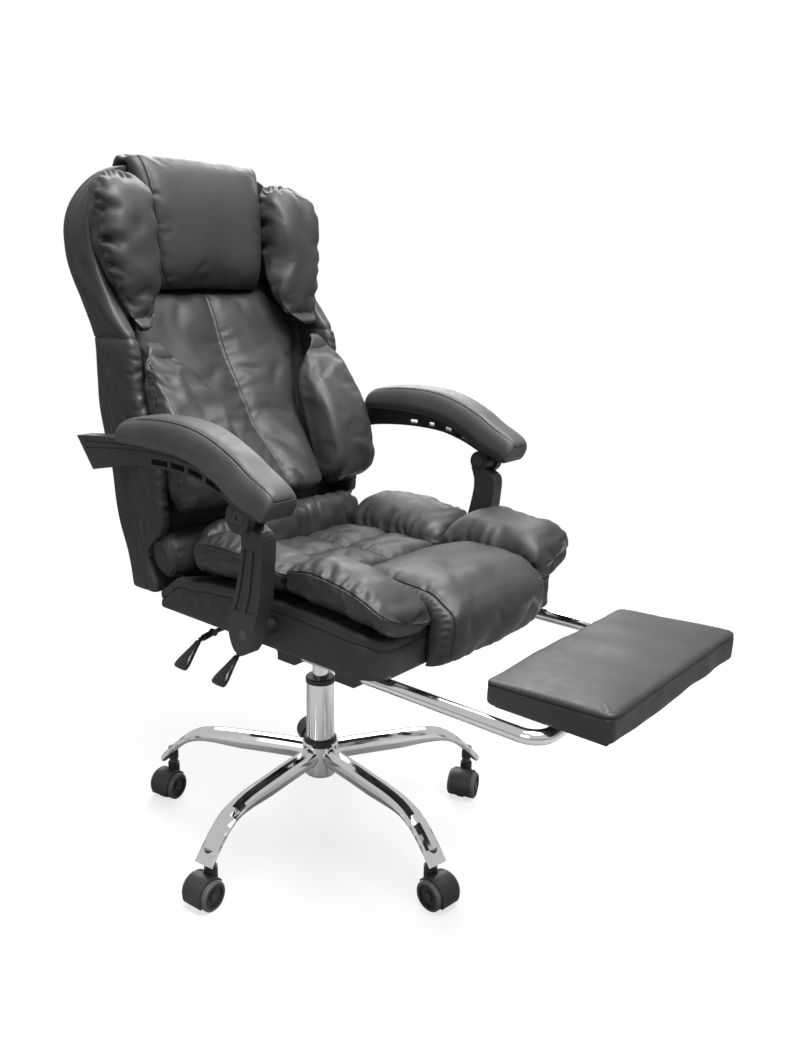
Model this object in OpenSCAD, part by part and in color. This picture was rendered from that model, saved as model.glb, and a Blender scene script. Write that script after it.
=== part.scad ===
// Reclining office chair with linked armrests, a slide-out footrest and a five-legged base.
// Millimetres. The origin is on the floor under the swivel axis, the sitter faces -Y, +Z is up.

/* [Base] */
// Distance from the swivel axis to each caster stem
caster_circle_r = 300; // [270:5:330]
// Direction of the first leg, in degrees from +X
base_turn = 115.6; // [0:0.1:360]
// Height of the legs' middle line at the hub
leg_axis_z = 135; // [128:1:145]
// Height of a leg's oval tube
leg_h = 37; // [32:1:40]
// Width of a leg's oval tube
leg_w = 32; // [26:1:34]
// Width of a leg's flattened end
leg_end_w = 36; // [32:1:40]
// Outer radius of the hub
hub_r = 33; // [31:1:36]
// Outer radius of the gas lift's column
column_r = 25; // [24:0.5:27]
// Wall of the column
column_wall = 3; // [2:0.5:4]
// Height of the column's top edge
column_top_z = 274; // [260:1:285]
// Radius of the gas lift's rod
rod_r = 14; // [12:0.5:15]

/* [Casters] */
// Radius of a caster wheel
wheel_r = 25; // [22:1:27]
// Width of one wheel
wheel_w = 19; // [15:1:21]
// Distance from the stem to the axle
caster_trail = 18; // [14:1:22]
// Radius of the stem
stem_r = 5.5; // [4.5:0.5:6.5]
// Radius of the axle
axle_r = 4; // [3:0.5:5]
// Gap between two turning or sliding surfaces
running_gap = 0.05; // [0.02:0.01:0.08]

/* [Seat] */
// Height of the seat box's underside
seat_z = 440; // [430:1:460]
// Width of the seat box
seat_w = 480; // [440:5:500]
// Front face of the seat box, ahead of the swivel axis
seat_front = 328; // [300:2:350]
// Rear face of the seat box, behind the swivel axis
seat_rear = 142; // [130:1:143]
// Height of the seat box in its middle
seat_box_h = 76; // [66:1:78]
// Height of the side lobes above the box
seat_pad_h = 70; // [62:1:74]
// Height of the quilted centre above the box
seat_centre_h = 25; // [20:1:34]
// Width of the seat's centre cushion
seat_centre_w = 260; // [220:2:280]
// Width of the waterfall front panel
front_panel_w = 266; // [220:2:280]

/* [Back] */
// Recline hinge, behind the swivel axis
hinge_y = 200; // [198:0.5:204]
// Recline hinge, height above the floor
hinge_z = 522; // [518:0.5:526]
// Height of the back from its lower edge to its top edge
back_h = 696; // [640:2:720]
// Width of the back
back_w = 492; // [470:2:500]
// Width of the head pillow
pillow_w = 270; // [240:2:290]
// Radius of the hinge pins
hinge_pin_r = 5; // [4:0.5:6]

/* [Arms] */
// Gap between the wider of seat and back, and the uprights
arm_gap = 24.2; // [20:0.2:32]
// Lower pivot of the upright, ahead of the swivel axis
arm_foot = 128; // [120:1:136]
// Lower pivot of the upright, above the seat box's underside
arm_foot_rise = 38; // [30:1:44]
// Length of the upright between its pivots
upright_l = 177.5; // [165:0.5:185]
// Lean of the upright to the front, in degrees
upright_lean = 3; // [0:0.5:6]
// Thickness of the arm beam
beam_t = 29; // [25:1:32]
// Width of the arm pad
arm_pad_w = 52; // [46:1:58]
// Height of the arm pad
arm_pad_h = 40; // [32:1:46]
// Radius of the arm's round hinge
disc_r = 23; // [20:1:25]

/* [Footrest] */
// Crossbar of the footrest, ahead of the swivel axis
crossbar_y = 555; // [540:1:580]
// Distance between the two rails
rail_gap = 400; // [380:2:410]
// Radius of the footrest tube
rail_r = 10; // [8:0.5:11]
// Width of the footrest pad
footrest_w = 376; // [340:2:380]
// Depth of the footrest pad, front to rear
footrest_d = 178; // [150:2:184]
// Thickness of the footrest pad
footrest_t = 40; // [34:1:42]

/* [Levers] */
// Height lever, ahead of the swivel axis
height_lever_y = 28; // [15:1:40]
// Recline lever, behind the swivel axis
recline_lever_y = 66; // [58:1:70]
// Length of a lever from its pivot to the bend
lever_l = 122; // [112:1:130]

/* [Hidden] */
leg_count = 5;
CASTER_NODES = [for (part = ["hood", "stem", "wheels", "treads"], i = [1:leg_count])
    str("caster_", part, "_", i)];

// Fineness of round work
$fn = 48;
leg_sides = 16;
soft_sides = 18;
// Overrun of a cut past the face it opens
cut = 1;
// Gap between soft pieces, and between a piece and its seat where it may move
seat_gap = 0.3;
// Gap between a stuffed piece and the curved face that it rests on
soft_gap = 0.8;
// Clearance of the arms' rear pivot, where each linkage is open
open_pivot_gap = 0.5;

// Smooth curve through points of any kind, by Catmull and Rom's formula
function curve_point(p, i, t) =
    let (a = p[max(i - 1, 0)], b = p[i], c = p[i + 1], d = p[min(i + 2, len(p) - 1)])
    (2 * b + (c - a) * t + (2 * a - 5 * b + 4 * c - d) * t * t + (3 * b - a - 3 * c + d) * t * t * t) / 2;
function along(p, t) =
    let (s = t * (len(p) - 1), i = min(floor(s), len(p) - 2))
    curve_point(p, i, s - i);
function curve(p, steps) = [for (i = [0:steps]) along(p, i / steps)];
// Places along a soft piece, closer together near its two ends
function soft_steps(count, tip_share) =
    [for (i = [0:count]) let (t = (1 - cos(180 * i / count)) / 2) tip_share + (1 - 2 * tip_share) * t];
function signed_power(v, e) = sign(v) * pow(abs(v), e);
// Fullness of a cushion at a place from -1 to 1 across it
function dome(s, square) = pow(max(1 - pow(abs(s), square), 0), 1 / 3);
function groove(s, at, width_share) = exp(-pow((s - at) / width_share, 2));
// Rounded oval ring round a centre, from two half-extent vectors
function oval_ring(station, square, n, swell) =
    [for (i = [0:n - 1]) let (a = 360 * i / n)
        station[0] + swell * (station[1] * signed_power(cos(a), 2 / square)
            + station[2] * signed_power(sin(a), 2 / square))];

// Closed skin over a list of rings that all have as many points
module loft(rings) {
    n = len(rings[0]);
    m = len(rings);
    points = [for (ring = rings) each ring];
    sides = [for (i = [0:m - 2], j = [0:n - 1])
        let (a = i * n + j, b = i * n + (j + 1) % n) each [[a, b, b + n], [a, b + n, a + n]]];
    first_cap = [for (j = [1:n - 2]) [0, j + 1, j]];
    last_cap = [for (j = [1:n - 2]) (m - 1) * n * [1, 1, 1] + [0, j, j + 1]];
    polyhedron(points, concat(sides, first_cap, last_cap), convexity = 6);
}

// Stuffed piece along a few stations, each a centre and two half-extent vectors
module stuffed(stations, square, end_square, count, n = soft_sides, tip_share = 0.004) {
    loft([for (t = soft_steps(count, tip_share))
        oval_ring(along(stations, t), square, n, dome(2 * t - 1, end_square))]);
}

// Upholstered panel along a few stations, each a middle on its board, a half width and a depth vector
crown_shares = [-1, -0.97, -0.88, -0.7, -0.45, -0.2, -0.07, 0, 0.07, 0.2, 0.45, 0.7, 0.88, 0.97, 1];
heel_share = 0.95;
lip_share = 0.16;
cross_seam_width_share = 0.03;
function crown_ring(station, fullness, square, seams, seam_width_share, seam_depth_share) =
    let (back = station[0], across = station[1], out = station[2],
        sag = function (s) max([for (at = seams) seam_depth_share * groove(s, at, seam_width_share)]))
    concat(
        [for (s = crown_shares)
            let (rise = fullness * (lip_share + (1 - lip_share) * dome(s, square)))
            back - across * s + out * rise * (1 - sag(-s))],
        [back - across * heel_share, back + across * heel_share]);
module upholstered(stations, square, end_square, count, seams, seam_width_share, seam_depth_share,
        cross_seams = [], tip_share = 0.01) {
    loft([for (t = soft_steps(count, tip_share))
        let (dips = [for (at = cross_seams) seam_depth_share * groove(t, at, cross_seam_width_share)],
            dip = len(dips) == 0 ? 0 : max(dips))
        crown_ring(along(stations, t), dome(2 * t - 1, end_square) * (1 - dip), square, seams,
            seam_width_share, seam_depth_share)]);
}

// Round bar along X, from one side place to another
module bar_x(x_from, x_to, y, z, r) {
    translate([min(x_from, x_to), y, z])
        rotate([0, 90, 0])
        cylinder(h = abs(x_to - x_from), r = r);
}

// Flat outline in the Y and Z plane, made thick along X
module plate_x(x_from, x_to) {
    translate([min(x_from, x_to), 0, 0])
        rotate([90, 0, 90])
        linear_extrude(height = abs(x_to - x_from), convexity = 6)
        children();
}

// Base: hub, legs and column

hub_drop = 41;
hub_low_z = leg_axis_z - hub_drop;
hub_h = 64;
hub_top_z = hub_low_z + hub_h;
hub_taper = 6;
hub_foot_r = hub_r - hub_taper;
hub_foot_h = 7;
hub_edge = 3;
module base_hub() {
    color("silver")
        difference() {
            union() {
                translate([0, 0, hub_low_z])
                    cylinder(h = hub_foot_h, r1 = hub_foot_r, r2 = hub_r);
                translate([0, 0, hub_low_z + hub_foot_h])
                    cylinder(h = hub_h - hub_foot_h - hub_edge, r = hub_r);
                translate([0, 0, hub_top_z - hub_edge])
                    cylinder(h = hub_edge, r1 = hub_r, r2 = hub_r - hub_edge);
            }
            translate([0, 0, hub_low_z - cut])
                cylinder(h = hub_h + 2 * cut, r = column_r);
        }
}

// Stations of a leg: reach and height as shares, thickness as a share of leg_h, flattening from 0 to 1
leg_shares = [[0.07, 1.00, 1.00, 0.0], [0.3, 1.005, 1.00, 0.0], [0.53, 0.995, 0.97, 0.0],
    [0.667, 1.00, 0.84, 0.1], [0.77, 0.982, 0.70, 0.3], [0.84, 0.938, 0.52, 0.6], [0.905, 0.86, 0.38, 0.9],
    [0.965, 0.742, 0.34, 1.0], [1.01, 0.64, 0.36, 1.0], [1.055, 0.53, 0.38, 1.0]];
leg_steps = 14;
function leg_place(t) = let (s = along(leg_shares, t)) [s[0] * caster_circle_r, 0, s[1] * leg_axis_z];
function leg_station(t) =
    let (step = 0.01, here = leg_place(t),
        run = leg_place(min(t + step, 1)) - leg_place(max(t - step, 0)),
        along_leg = run / norm(run), up = [-along_leg[2], 0, along_leg[0]], s = along(leg_shares, t))
    [here, [0, leg_w / 2 + (leg_end_w - leg_w) / 2 * s[3], 0], up * leg_h / 2 * s[2]];
leg_square = 2.2;

socket_r = 9.5;
socket_low_z = 72;
socket_h = 22;
socket_roof = 3;
module at_each_leg() {
    for (i = [0:leg_count - 1])
        rotate([0, 0, base_turn + 360 / leg_count * i])
        children();
}
module base_legs() {
    color("silver")
        at_each_leg()
        difference() {
            loft([for (i = [0:leg_steps]) oval_ring(leg_station(i / leg_steps), leg_square, leg_sides, 1)]);
            translate([0, 0, hub_low_z])
                cylinder(h = hub_h, r = hub_r);
            translate([caster_circle_r, 0, 0])
                cylinder(h = socket_low_z + socket_h, r = socket_r);
        }
}

module stem_sockets() {
    color("silver")
        at_each_leg()
        translate([caster_circle_r, 0, socket_low_z])
        difference() {
            cylinder(h = socket_h, r = socket_r);
            translate([0, 0, -cut])
                cylinder(h = socket_h - socket_roof + cut, r = stem_r + running_gap);
        }
}

collar_r = 30;
collar_h = 9;
collar_edge = 3;
module base_collar() {
    color("black")
        translate([0, 0, hub_top_z])
        rotate_extrude()
        polygon([[column_r, 0], [collar_r, 0], [collar_r, collar_h - collar_edge],
            [collar_r - collar_edge, collar_h], [column_r, collar_h]]);
}

flute_count = 12;
flute_r = 2.4;
flute_depth = 1;
flute_lift = 4;
flute_low_z = hub_top_z + collar_h + flute_lift;
flute_h = 62;
column_floor = 4;
module column_tube() {
    color("silver")
        difference() {
            translate([0, 0, hub_low_z])
                cylinder(h = column_top_z - hub_low_z, r = column_r);
            translate([0, 0, hub_low_z + column_floor])
                cylinder(h = column_top_z - hub_low_z, r = column_r - column_wall);
            for (i = [0:flute_count - 1])
                rotate([0, 0, 360 / flute_count * i])
                translate([column_r - flute_depth + flute_r, 0, flute_low_z])
                cylinder(h = flute_h, r = flute_r, $fn = 24);
        }
}

cap_rim = 1.5;
cap_r = column_r + cap_rim;
cap_h = 10;
cap_plug_h = 22;
cap_edge = 2;
module column_cap() {
    color("black")
        difference() {
            union() {
                translate([0, 0, column_top_z])
                    cylinder(h = cap_h - cap_edge, r = cap_r);
                translate([0, 0, column_top_z + cap_h - cap_edge])
                    cylinder(h = cap_edge, r1 = cap_r, r2 = cap_r - cap_edge);
                translate([0, 0, column_top_z - cap_plug_h])
                    cylinder(h = cap_plug_h, r = column_r - column_wall);
            }
            translate([0, 0, column_top_z - cap_plug_h - cut])
                cylinder(h = cap_plug_h + cap_h + 2 * cut, r = rod_r + running_gap);
        }
}

// Casters: each trails its stem in its own direction, in degrees from +X

caster_turns = [192, 185, 264, 200, 150];
web_w = 13;
wheel_gap = 0.6;
hood_wall = 2.6;
hood_gap = 0.9;
hood_w = 38;
hood_low_angle = -28;
hood_high_angle = 148;
hood_r = wheel_r + hood_gap + hood_wall;
boss_r = 11;
boss_top_z = 62;
boss_low_z = 34;
tread_t = 4.5;
stem_flange_r = 8;
stem_flange_h = 9.7;
stem_sink = 20;
module at_caster(i) {
    turn = base_turn + 360 / leg_count * (i - 1);
    translate([caster_circle_r * cos(turn), caster_circle_r * sin(turn), 0])
        rotate([0, 0, caster_turns[i - 1]])
        children();
}
// Turned piece on the axle, whose length runs along the local Y axis
module on_axle() {
    translate([caster_trail, 0, wheel_r])
        rotate([90, 0, 0])
        children();
}
module caster_hood(i) {
    color("black")
        at_caster(i)
        difference() {
            union() {
                on_axle()
                    translate([0, 0, -web_w / 2])
                    cylinder(h = web_w, r = wheel_r + hood_gap + hood_wall / 2);
                on_axle()
                    rotate([0, 0, hood_low_angle])
                    translate([0, 0, -hood_w / 2])
                    rotate_extrude(angle = hood_high_angle - hood_low_angle)
                    translate([wheel_r + hood_gap, 0])
                    square([hood_wall, hood_w]);
                translate([0, 0, boss_low_z])
                    cylinder(h = boss_top_z - boss_low_z, r = boss_r);
            }
            translate([0, 0, boss_top_z - stem_sink])
                cylinder(h = stem_sink + cut, r = stem_r);
            on_axle()
                translate([0, 0, -web_w / 2 - cut])
                cylinder(h = web_w + 2 * cut, r = axle_r + running_gap);
            wheel_room();
            translate([caster_trail - hood_r - cut, -hood_w, hood_foot_z - hood_r])
                cube([2 * (hood_r + cut), 2 * hood_w, hood_r]);
        }
}
hood_foot_z = 5;
// Room that the two turning wheels need inside the hood
module wheel_room() {
    for (side = [-1, 1])
        on_axle()
        translate([0, 0, side > 0 ? web_w / 2 : -web_w / 2 - wheel_w - wheel_gap])
        cylinder(h = wheel_w + wheel_gap, r = wheel_r + hood_gap);
}
module caster_stem(i) {
    color("silver")
        at_caster(i)
        union() {
            translate([0, 0, boss_top_z - stem_sink])
                cylinder(h = socket_low_z + socket_h - socket_roof - seat_gap - boss_top_z + stem_sink,
                    r = stem_r);
            translate([0, 0, boss_top_z])
                cylinder(h = stem_flange_h, r = stem_flange_r);
        }
}
wheel_rim_r = wheel_r - tread_t;
wheel_dish = 3;
wheel_dish_rim = 3;
wheel_hub_r = 8;
module caster_wheels(i) {
    color("black")
        at_caster(i)
        union() {
            on_axle()
                translate([0, 0, -web_w / 2 - wheel_gap - wheel_w / 2])
                cylinder(h = web_w + 2 * wheel_gap + wheel_w, r = axle_r);
            for (side = [0, 1])
                mirror([0, side, 0])
                on_axle()
                translate([0, 0, web_w / 2 + wheel_gap])
                difference() {
                    cylinder(h = wheel_w, r = wheel_rim_r);
                    translate([0, 0, wheel_w - wheel_dish])
                        difference() {
                            cylinder(h = wheel_dish + cut, r = wheel_rim_r - wheel_dish_rim);
                            translate([0, 0, -cut])
                                cylinder(h = wheel_dish + 2 * cut, r = wheel_hub_r);
                        }
                }
        }
}
tread_edge = 2.5;
module caster_treads(i) {
    color("gray")
        at_caster(i)
        for (side = [0, 1])
            mirror([0, side, 0])
            on_axle()
            translate([0, 0, web_w / 2 + wheel_gap])
            rotate_extrude()
            polygon([[wheel_rim_r, 0], [wheel_r - tread_edge, 0], [wheel_r, tread_edge],
                [wheel_r, wheel_w - tread_edge], [wheel_r - tread_edge, wheel_w], [wheel_rim_r, wheel_w]]);
}

// Gas lift rod and the mechanism under the seat

rod_sink = 74;
rod_low_z = column_top_z - rod_sink;
rod_head_gap = 4;
piston_h = 14;
module lift_rod() {
    color("silver")
        union() {
            translate([0, 0, rod_low_z])
                cylinder(h = seat_z - rod_head_gap - rod_low_z, r = rod_r);
            translate([0, 0, rod_low_z])
                cylinder(h = piston_h, r = column_r - column_wall - running_gap);
        }
}

plate_l = 230;
plate_w = 210;
plate_t = 3;
tray_l = 158;
tray_w = 116;
tray_h = 38;
tray_wall = 3;
lift_socket_wall = 5;
lift_socket_r = rod_r + lift_socket_wall;
lift_socket_h = 44;
plate_hole_r = 4;
plate_hole_inset = 16;
lever_pin_r = 3;
lever_eye_r = 7;
lever_eye_w = 14;
lever_hang = 31;
lever_z = seat_z - lever_hang;
lever_reach = 10;
lever_x = tray_w / 2 + lever_reach;
ear_t = 4;
ear_r = 8;
lever_places = [-height_lever_y, recline_lever_y];
module tilt_plate() {
    color("dimgray")
        difference() {
            union() {
                translate([-plate_w / 2, -plate_l / 2, seat_z - plate_t])
                    cube([plate_w, plate_l, plate_t]);
                translate([-tray_w / 2, -tray_l / 2, seat_z - tray_h])
                    cube([tray_w, tray_l, tray_h - plate_t]);
                translate([0, 0, seat_z - lift_socket_h])
                    cylinder(h = lift_socket_h, r = lift_socket_r);
                for (y = lever_places, side = [-1, 1])
                    lever_ear(y + side * (lever_eye_w / 2 + seat_gap + ear_t / 2));
                for (y = lever_places)
                    translate([-lever_x, y + lever_eye_w / 2 + seat_gap + ear_t, lever_z])
                    rotate([90, 0, 0])
                    cylinder(h = lever_eye_w + 2 * seat_gap + 2 * ear_t, r = lever_pin_r);
            }
            difference() {
                translate([-tray_w / 2 + tray_wall, -tray_l / 2 + tray_wall, seat_z - tray_h - cut])
                    cube([tray_w - 2 * tray_wall, tray_l - 2 * tray_wall, tray_h - plate_t + cut]);
                cylinder(h = seat_z, r = lift_socket_r);
            }
            cylinder(h = seat_z - plate_t, r = rod_r + running_gap);
            for (x = [-1, 1], y = [-1, 1])
                translate([x * (plate_w / 2 - plate_hole_inset), y * (plate_l / 2 - plate_hole_inset),
                    seat_z - plate_t - cut])
                cylinder(h = plate_t + 2 * cut, r = plate_hole_r);
        }
}
// Ear of the mechanism that holds one end of a lever's pin
module lever_ear(y) {
    translate([-lever_x, y + ear_t / 2, lever_z])
        rotate([90, 0, 0])
        cylinder(h = ear_t, r = ear_r);
    translate([-lever_x - ear_r, y - ear_t / 2, lever_z])
        cube([ear_r + lever_x - tray_w / 2, ear_t, seat_z - plate_t - lever_z]);
    translate([-lever_x, y - ear_t / 2, lever_z - ear_r])
        cube([lever_x - tray_w / 2, ear_t, ear_r]);
}

// Seat box and cushions

// Side outline of the seat box, as shares of its length and height
seat_box_shares = [[0, 0], [1, 0], [1, 0.40], [0.92, 0.56], [0.76, 0.92], [0.6, 1], [0.3, 1], [0.06, 0.9],
    [0, 0.78]];
seat_corner_r = 44;
seat_l = seat_front + seat_rear;
seat_top_line = [for (i = [len(seat_box_shares) - 1:-1:2])
    [seat_box_shares[i][0] * seat_l - seat_front, seat_z + seat_box_shares[i][1] * seat_box_h]];
// Height of the seat box's top at a place from front to rear
function seat_top(y) = lookup(y, seat_top_line);
module seat_base() {
    color([0.10, 0.10, 0.11])
        intersection() {
            plate_x(-seat_w / 2, seat_w / 2)
                polygon([for (s = seat_box_shares)
                    [s[0] * seat_l - seat_front, seat_z + s[1] * seat_box_h]]);
            translate([0, 0, seat_z])
                linear_extrude(height = seat_box_h + cut)
                union() {
                    translate([-seat_w / 2, -seat_front + seat_corner_r])
                        square([seat_w, seat_l - seat_corner_r]);
                    translate([-seat_w / 2 + seat_corner_r, -seat_front])
                        square([seat_w - 2 * seat_corner_r, seat_l]);
                    for (side = [-1, 1])
                        translate([side * (seat_w / 2 - seat_corner_r), -seat_front + seat_corner_r])
                        circle(r = seat_corner_r);
                }
        }
}

seat_pad_z = seat_z + seat_box_h + seat_gap;
roll_room = 97;
seat_rear_limit = hinge_y - roll_room;
rear_lobe_d = 56;
front_panel_l = 172;
front_seam_y = front_panel_l - seat_front;
seat_square = 8;
// Tuft at the rear: side place, depth and height, as shares
rear_lobe_shares = [[-1, 0.58, 0.86], [-0.68, 0.66, 1.02], [-0.4, 0.97, 1.06], [0, 1, 1.08],
    [0.4, 0.97, 1.06], [0.68, 0.66, 1.02], [1, 0.58, 0.86]];
rear_lobe_w = 384;
rear_lobe_lift = 4;
module seat_cushion() {
    rear_lobe_low = seat_top(seat_rear_limit - rear_lobe_d / 2) + rear_lobe_lift;
    centre_rear = seat_rear_limit - rear_lobe_d - seat_gap;
    color([0.12, 0.12, 0.13])
        union() {
            upholstered([for (t = [0:0.25:1])
                [[0, front_seam_y + seat_gap + t * (centre_rear - front_seam_y - seat_gap), seat_pad_z],
                    [seat_centre_w / 2, 0, 0], [0, 0, seat_centre_h]]],
                seat_square, seat_square, 20, [0], 0.07, 0.16, [0.5]);
            stuffed([for (r = rear_lobe_shares) let (front = seat_rear_limit - r[1] * rear_lobe_d)
                [[r[0] * rear_lobe_w / 2, (front + seat_rear_limit) / 2,
                    (rear_lobe_low + seat_pad_z + r[2] * seat_pad_h) / 2],
                    [0, 0, (seat_pad_z + r[2] * seat_pad_h - rear_lobe_low) / 2],
                    [0, (seat_rear_limit - front) / 2, 0]]],
                3, 12, 13, 14);
        }
}

// Side lobes: places from front to rear as shares of the box's length, and heights as shares of seat_pad_h
front_lobe_shares = [[-0.034, 0.62], [0.03, 0.92], [0.14, 1.0], [0.27, 1.0], [0.382, 0.70]];
rear_lobe_side_shares = [[0.386, 0.68], [0.46, 0.83], [0.6, 0.95], [0.72, 0.96], [0.822, 0.82]];
lobe_overhang = 5;
lobe_lift = 3.6;
lobe_tilt_share = 0.16;
lobe_steps = 11;
module seat_lobe(shares) {
    inner = max(seat_centre_w, front_panel_w) / 2 + seat_gap;
    outer = seat_w / 2 + lobe_overhang;
    stuffed([for (s = curve(shares, lobe_steps))
        let (y = s[0] * seat_l - seat_front, low = seat_top(max(y, -seat_front)) + lobe_lift,
            high = seat_pad_z + s[1] * seat_pad_h, half = (outer - inner) / 2)
        [[(inner + outer) / 2, y, (low + high) / 2], [half, 0, half * lobe_tilt_share],
            [0, 0, (high - low) / 2]]],
        2.5, 7, lobe_steps, 16);
}
module seat_bolster(side) {
    color([0.12, 0.12, 0.13])
        mirror([side > 0 ? 0 : 1, 0, 0])
        union() {
            seat_lobe(front_lobe_shares);
            seat_lobe(rear_lobe_side_shares);
        }
}

// Waterfall front: its places on the box as shares of length and height, its turn and its thickness
front_shares = [[0.366, 1, 0, 0.28], [0.30, 1, 0, 0.42], [0.19, 0.954, 4, 0.62], [0.06, 0.90, 24, 0.69],
    [0.03, 0.84, 48, 0.73], [0, 0.778, 68, 0.71], [0, 0.46, 91, 0.65], [0, 0.006, 95, 0.48]];
front_panel_gap = 1;
front_lean_share = 1.3;
upright_angle = 90;
function turned(a) = [0, -sin(a), cos(a)];
module seat_front_panel() {
    color([0.12, 0.12, 0.13])
        upholstered([for (s = front_shares)
            let (at = [0, s[0] * seat_l - seat_front, seat_z + s[1] * seat_box_h],
                lean = min(s[2] * front_lean_share, upright_angle))
            [at + turned(lean) * front_panel_gap, [-front_panel_w / 2, 0, 0],
                turned(s[2]) * s[3] * seat_pad_h]],
            7, 9, 17, [2], 0.1, 0.1);
}

// Footrest rails run in four guides under the seat box
rail_hang = 12;
rail_z = seat_z - rail_hang;
guide_places = [-250, -132];
guide_l = 36;
guide_wall = 5;
module rail_guides() {
    color("black")
        for (side = [-1, 1], y = guide_places)
            difference() {
                translate([side * rail_gap / 2 - rail_r - guide_wall, y - guide_l / 2,
                    rail_z - rail_r - guide_wall])
                    cube([2 * (rail_r + guide_wall), guide_l, seat_z - rail_z + rail_r + guide_wall]);
                translate([side * rail_gap / 2, y + guide_l / 2 + cut, rail_z])
                    rotate([90, 0, 0])
                    cylinder(h = guide_l + 2 * cut, r = rail_r + running_gap);
            }
}

bracket_x = 150;
bracket_t = 6;
bracket_eye_r = 13;
bracket_foot_l = 84;
bracket_foot_w = 34;
bracket_foot_t = 4;
bracket_foot_y = 161;
bracket_half = 12;
module hinge_brackets() {
    color("dimgray")
        for (side = [-1, 1])
            difference() {
                union() {
                    plate_x(side * bracket_x - bracket_t / 2, side * bracket_x + bracket_t / 2)
                        union() {
                            translate([hinge_y, hinge_z])
                                circle(r = bracket_eye_r);
                            polygon([[seat_rear + seat_gap, seat_z - bracket_foot_t],
                                [seat_rear + seat_gap, seat_z],
                                [hinge_y - bracket_half, hinge_z + bracket_half / 3],
                                [hinge_y + bracket_half, hinge_z - bracket_half / 3],
                                [bracket_foot_y + bracket_half, seat_z - bracket_foot_t]]);
                        }
                    translate([side * bracket_x - bracket_foot_w / 2, bracket_foot_y - bracket_foot_l,
                        seat_z - bracket_foot_t])
                        cube([bracket_foot_w, bracket_foot_l, bracket_foot_t]);
                }
                bar_x(side * bracket_x - bracket_t, side * bracket_x + bracket_t, hinge_y, hinge_z,
                    hinge_pin_r + running_gap);
            }
}

// Linkage places in the Y and Z plane: foot of the upright, round hinge and rear pivot of the arm
foot_at = [-arm_foot, seat_z + arm_foot_rise];
disc_at = foot_at + upright_l * [-sin(upright_lean), cos(upright_lean)];
hinge_at = [hinge_y, hinge_z];
rear_at = hinge_at + disc_at - foot_at;
arm_run = hinge_y + arm_foot;

disc_t = 14;
upright_t = 27;
upright_in_x = max(seat_w, back_w) / 2 + arm_gap;
upright_out_x = upright_in_x + upright_t;
beam_out_x = upright_out_x + seat_gap + disc_t;
beam_in_x = beam_out_x - beam_t;
arm_x = beam_out_x - beam_t / 2;
arm_bolt_r = 6;
arm_bolt_head_r = 9;
arm_bolt_head_h = 3;
arm_spacer_r = 13;
module arm_bolts() {
    color("dimgray")
        for (side = [-1, 1]) {
            bar_x(side * seat_w / 2, side * (upright_in_x - seat_gap), foot_at[0], foot_at[1], arm_spacer_r);
            bar_x(side * (upright_in_x - seat_gap), side * (upright_out_x - seat_gap),
                foot_at[0], foot_at[1], arm_bolt_r);
            bar_x(side * (upright_out_x - arm_bolt_head_h + seat_gap), side * upright_out_x,
                foot_at[0], foot_at[1], arm_bolt_head_r);
        }
}

// Back: every place is a share of the back's height, measured from the hinge line and the lower edge

hinge_rise = 57;
back_low_z = hinge_z - hinge_rise;
function back_at(y_share, z_share) = [hinge_y + y_share * back_h, back_low_z + z_share * back_h];
shell_front_shares = [[-0.078, 0.022], [-0.050, 0.076], [-0.019, 0.182], [0.007, 0.29], [0.069, 0.453],
    [0.092, 0.589], [0.135, 0.682], [0.178, 0.75], [0.195, 0.818], [0.190, 0.872], [0.178, 0.931],
    [0.166, 0.985]];
shell_rear_shares = [[0.205, 1.0], [0.222, 0.94], [0.231, 0.886], [0.230, 0.832], [0.216, 0.761],
    [0.171, 0.681], [0.121, 0.589], [0.122, 0.445], [0.083, 0.286], [0.065, 0.168], [0.027, 0.06],
    [0.016, 0.004]];
shell_foot_shares = [-0.004, 0];
shell_steps = 26;
shell_corner_r = 122;
shell_eye_gap = 3;
shell_slot_gap = 1.2;
slot_reach = 100;
shell_front_line = [for (s = curve(shell_front_shares, shell_steps))
    [back_at(s[0], s[1])[1], back_at(s[0], s[1])[0]]];
// Front face of the shell at a height
function shell_front_y(z) = lookup(z, shell_front_line);
// Padded strips along the shell's two sides: height and reach of their front, as shares
strip_shares = [[0.145, -0.100], [0.222, -0.106], [0.306, -0.103], [0.366, -0.079], [0.438, -0.046],
    [0.481, -0.0316], [0.524, -0.0273], [0.595, -0.0129], [0.638, 0.0244], [0.690, 0.0661],
    [0.779, 0.1092], [0.855, 0.125], [0.9095, 0.1236], [0.9526, 0.135], [0.9784, 0.152]];
strip_steps_up = 24;
strip_w = 28;
strip_round = 8;
strip_sink = 6;
strip_line = [for (s = curve(strip_shares, strip_steps_up))
    [back_at(s[1], s[0])[1], back_at(s[1], s[0])[0]]];
function strip_y(z) = lookup(z, strip_line);
module side_strip() {
    half = back_w / 2;
    loft([for (p = strip_line)
        let (z = p[0], front = p[1], rear = shell_front_y(p[0]) + strip_sink)
        [[half - strip_w, rear, z], [half, rear, z], [half, front + strip_round, z],
            [half - strip_round / 3, front + strip_round / 3, z], [half - strip_round, front, z],
            [half - strip_w + strip_round / 2, front, z],
            [half - strip_w, front + strip_round / 2, z]]]);
}
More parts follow.
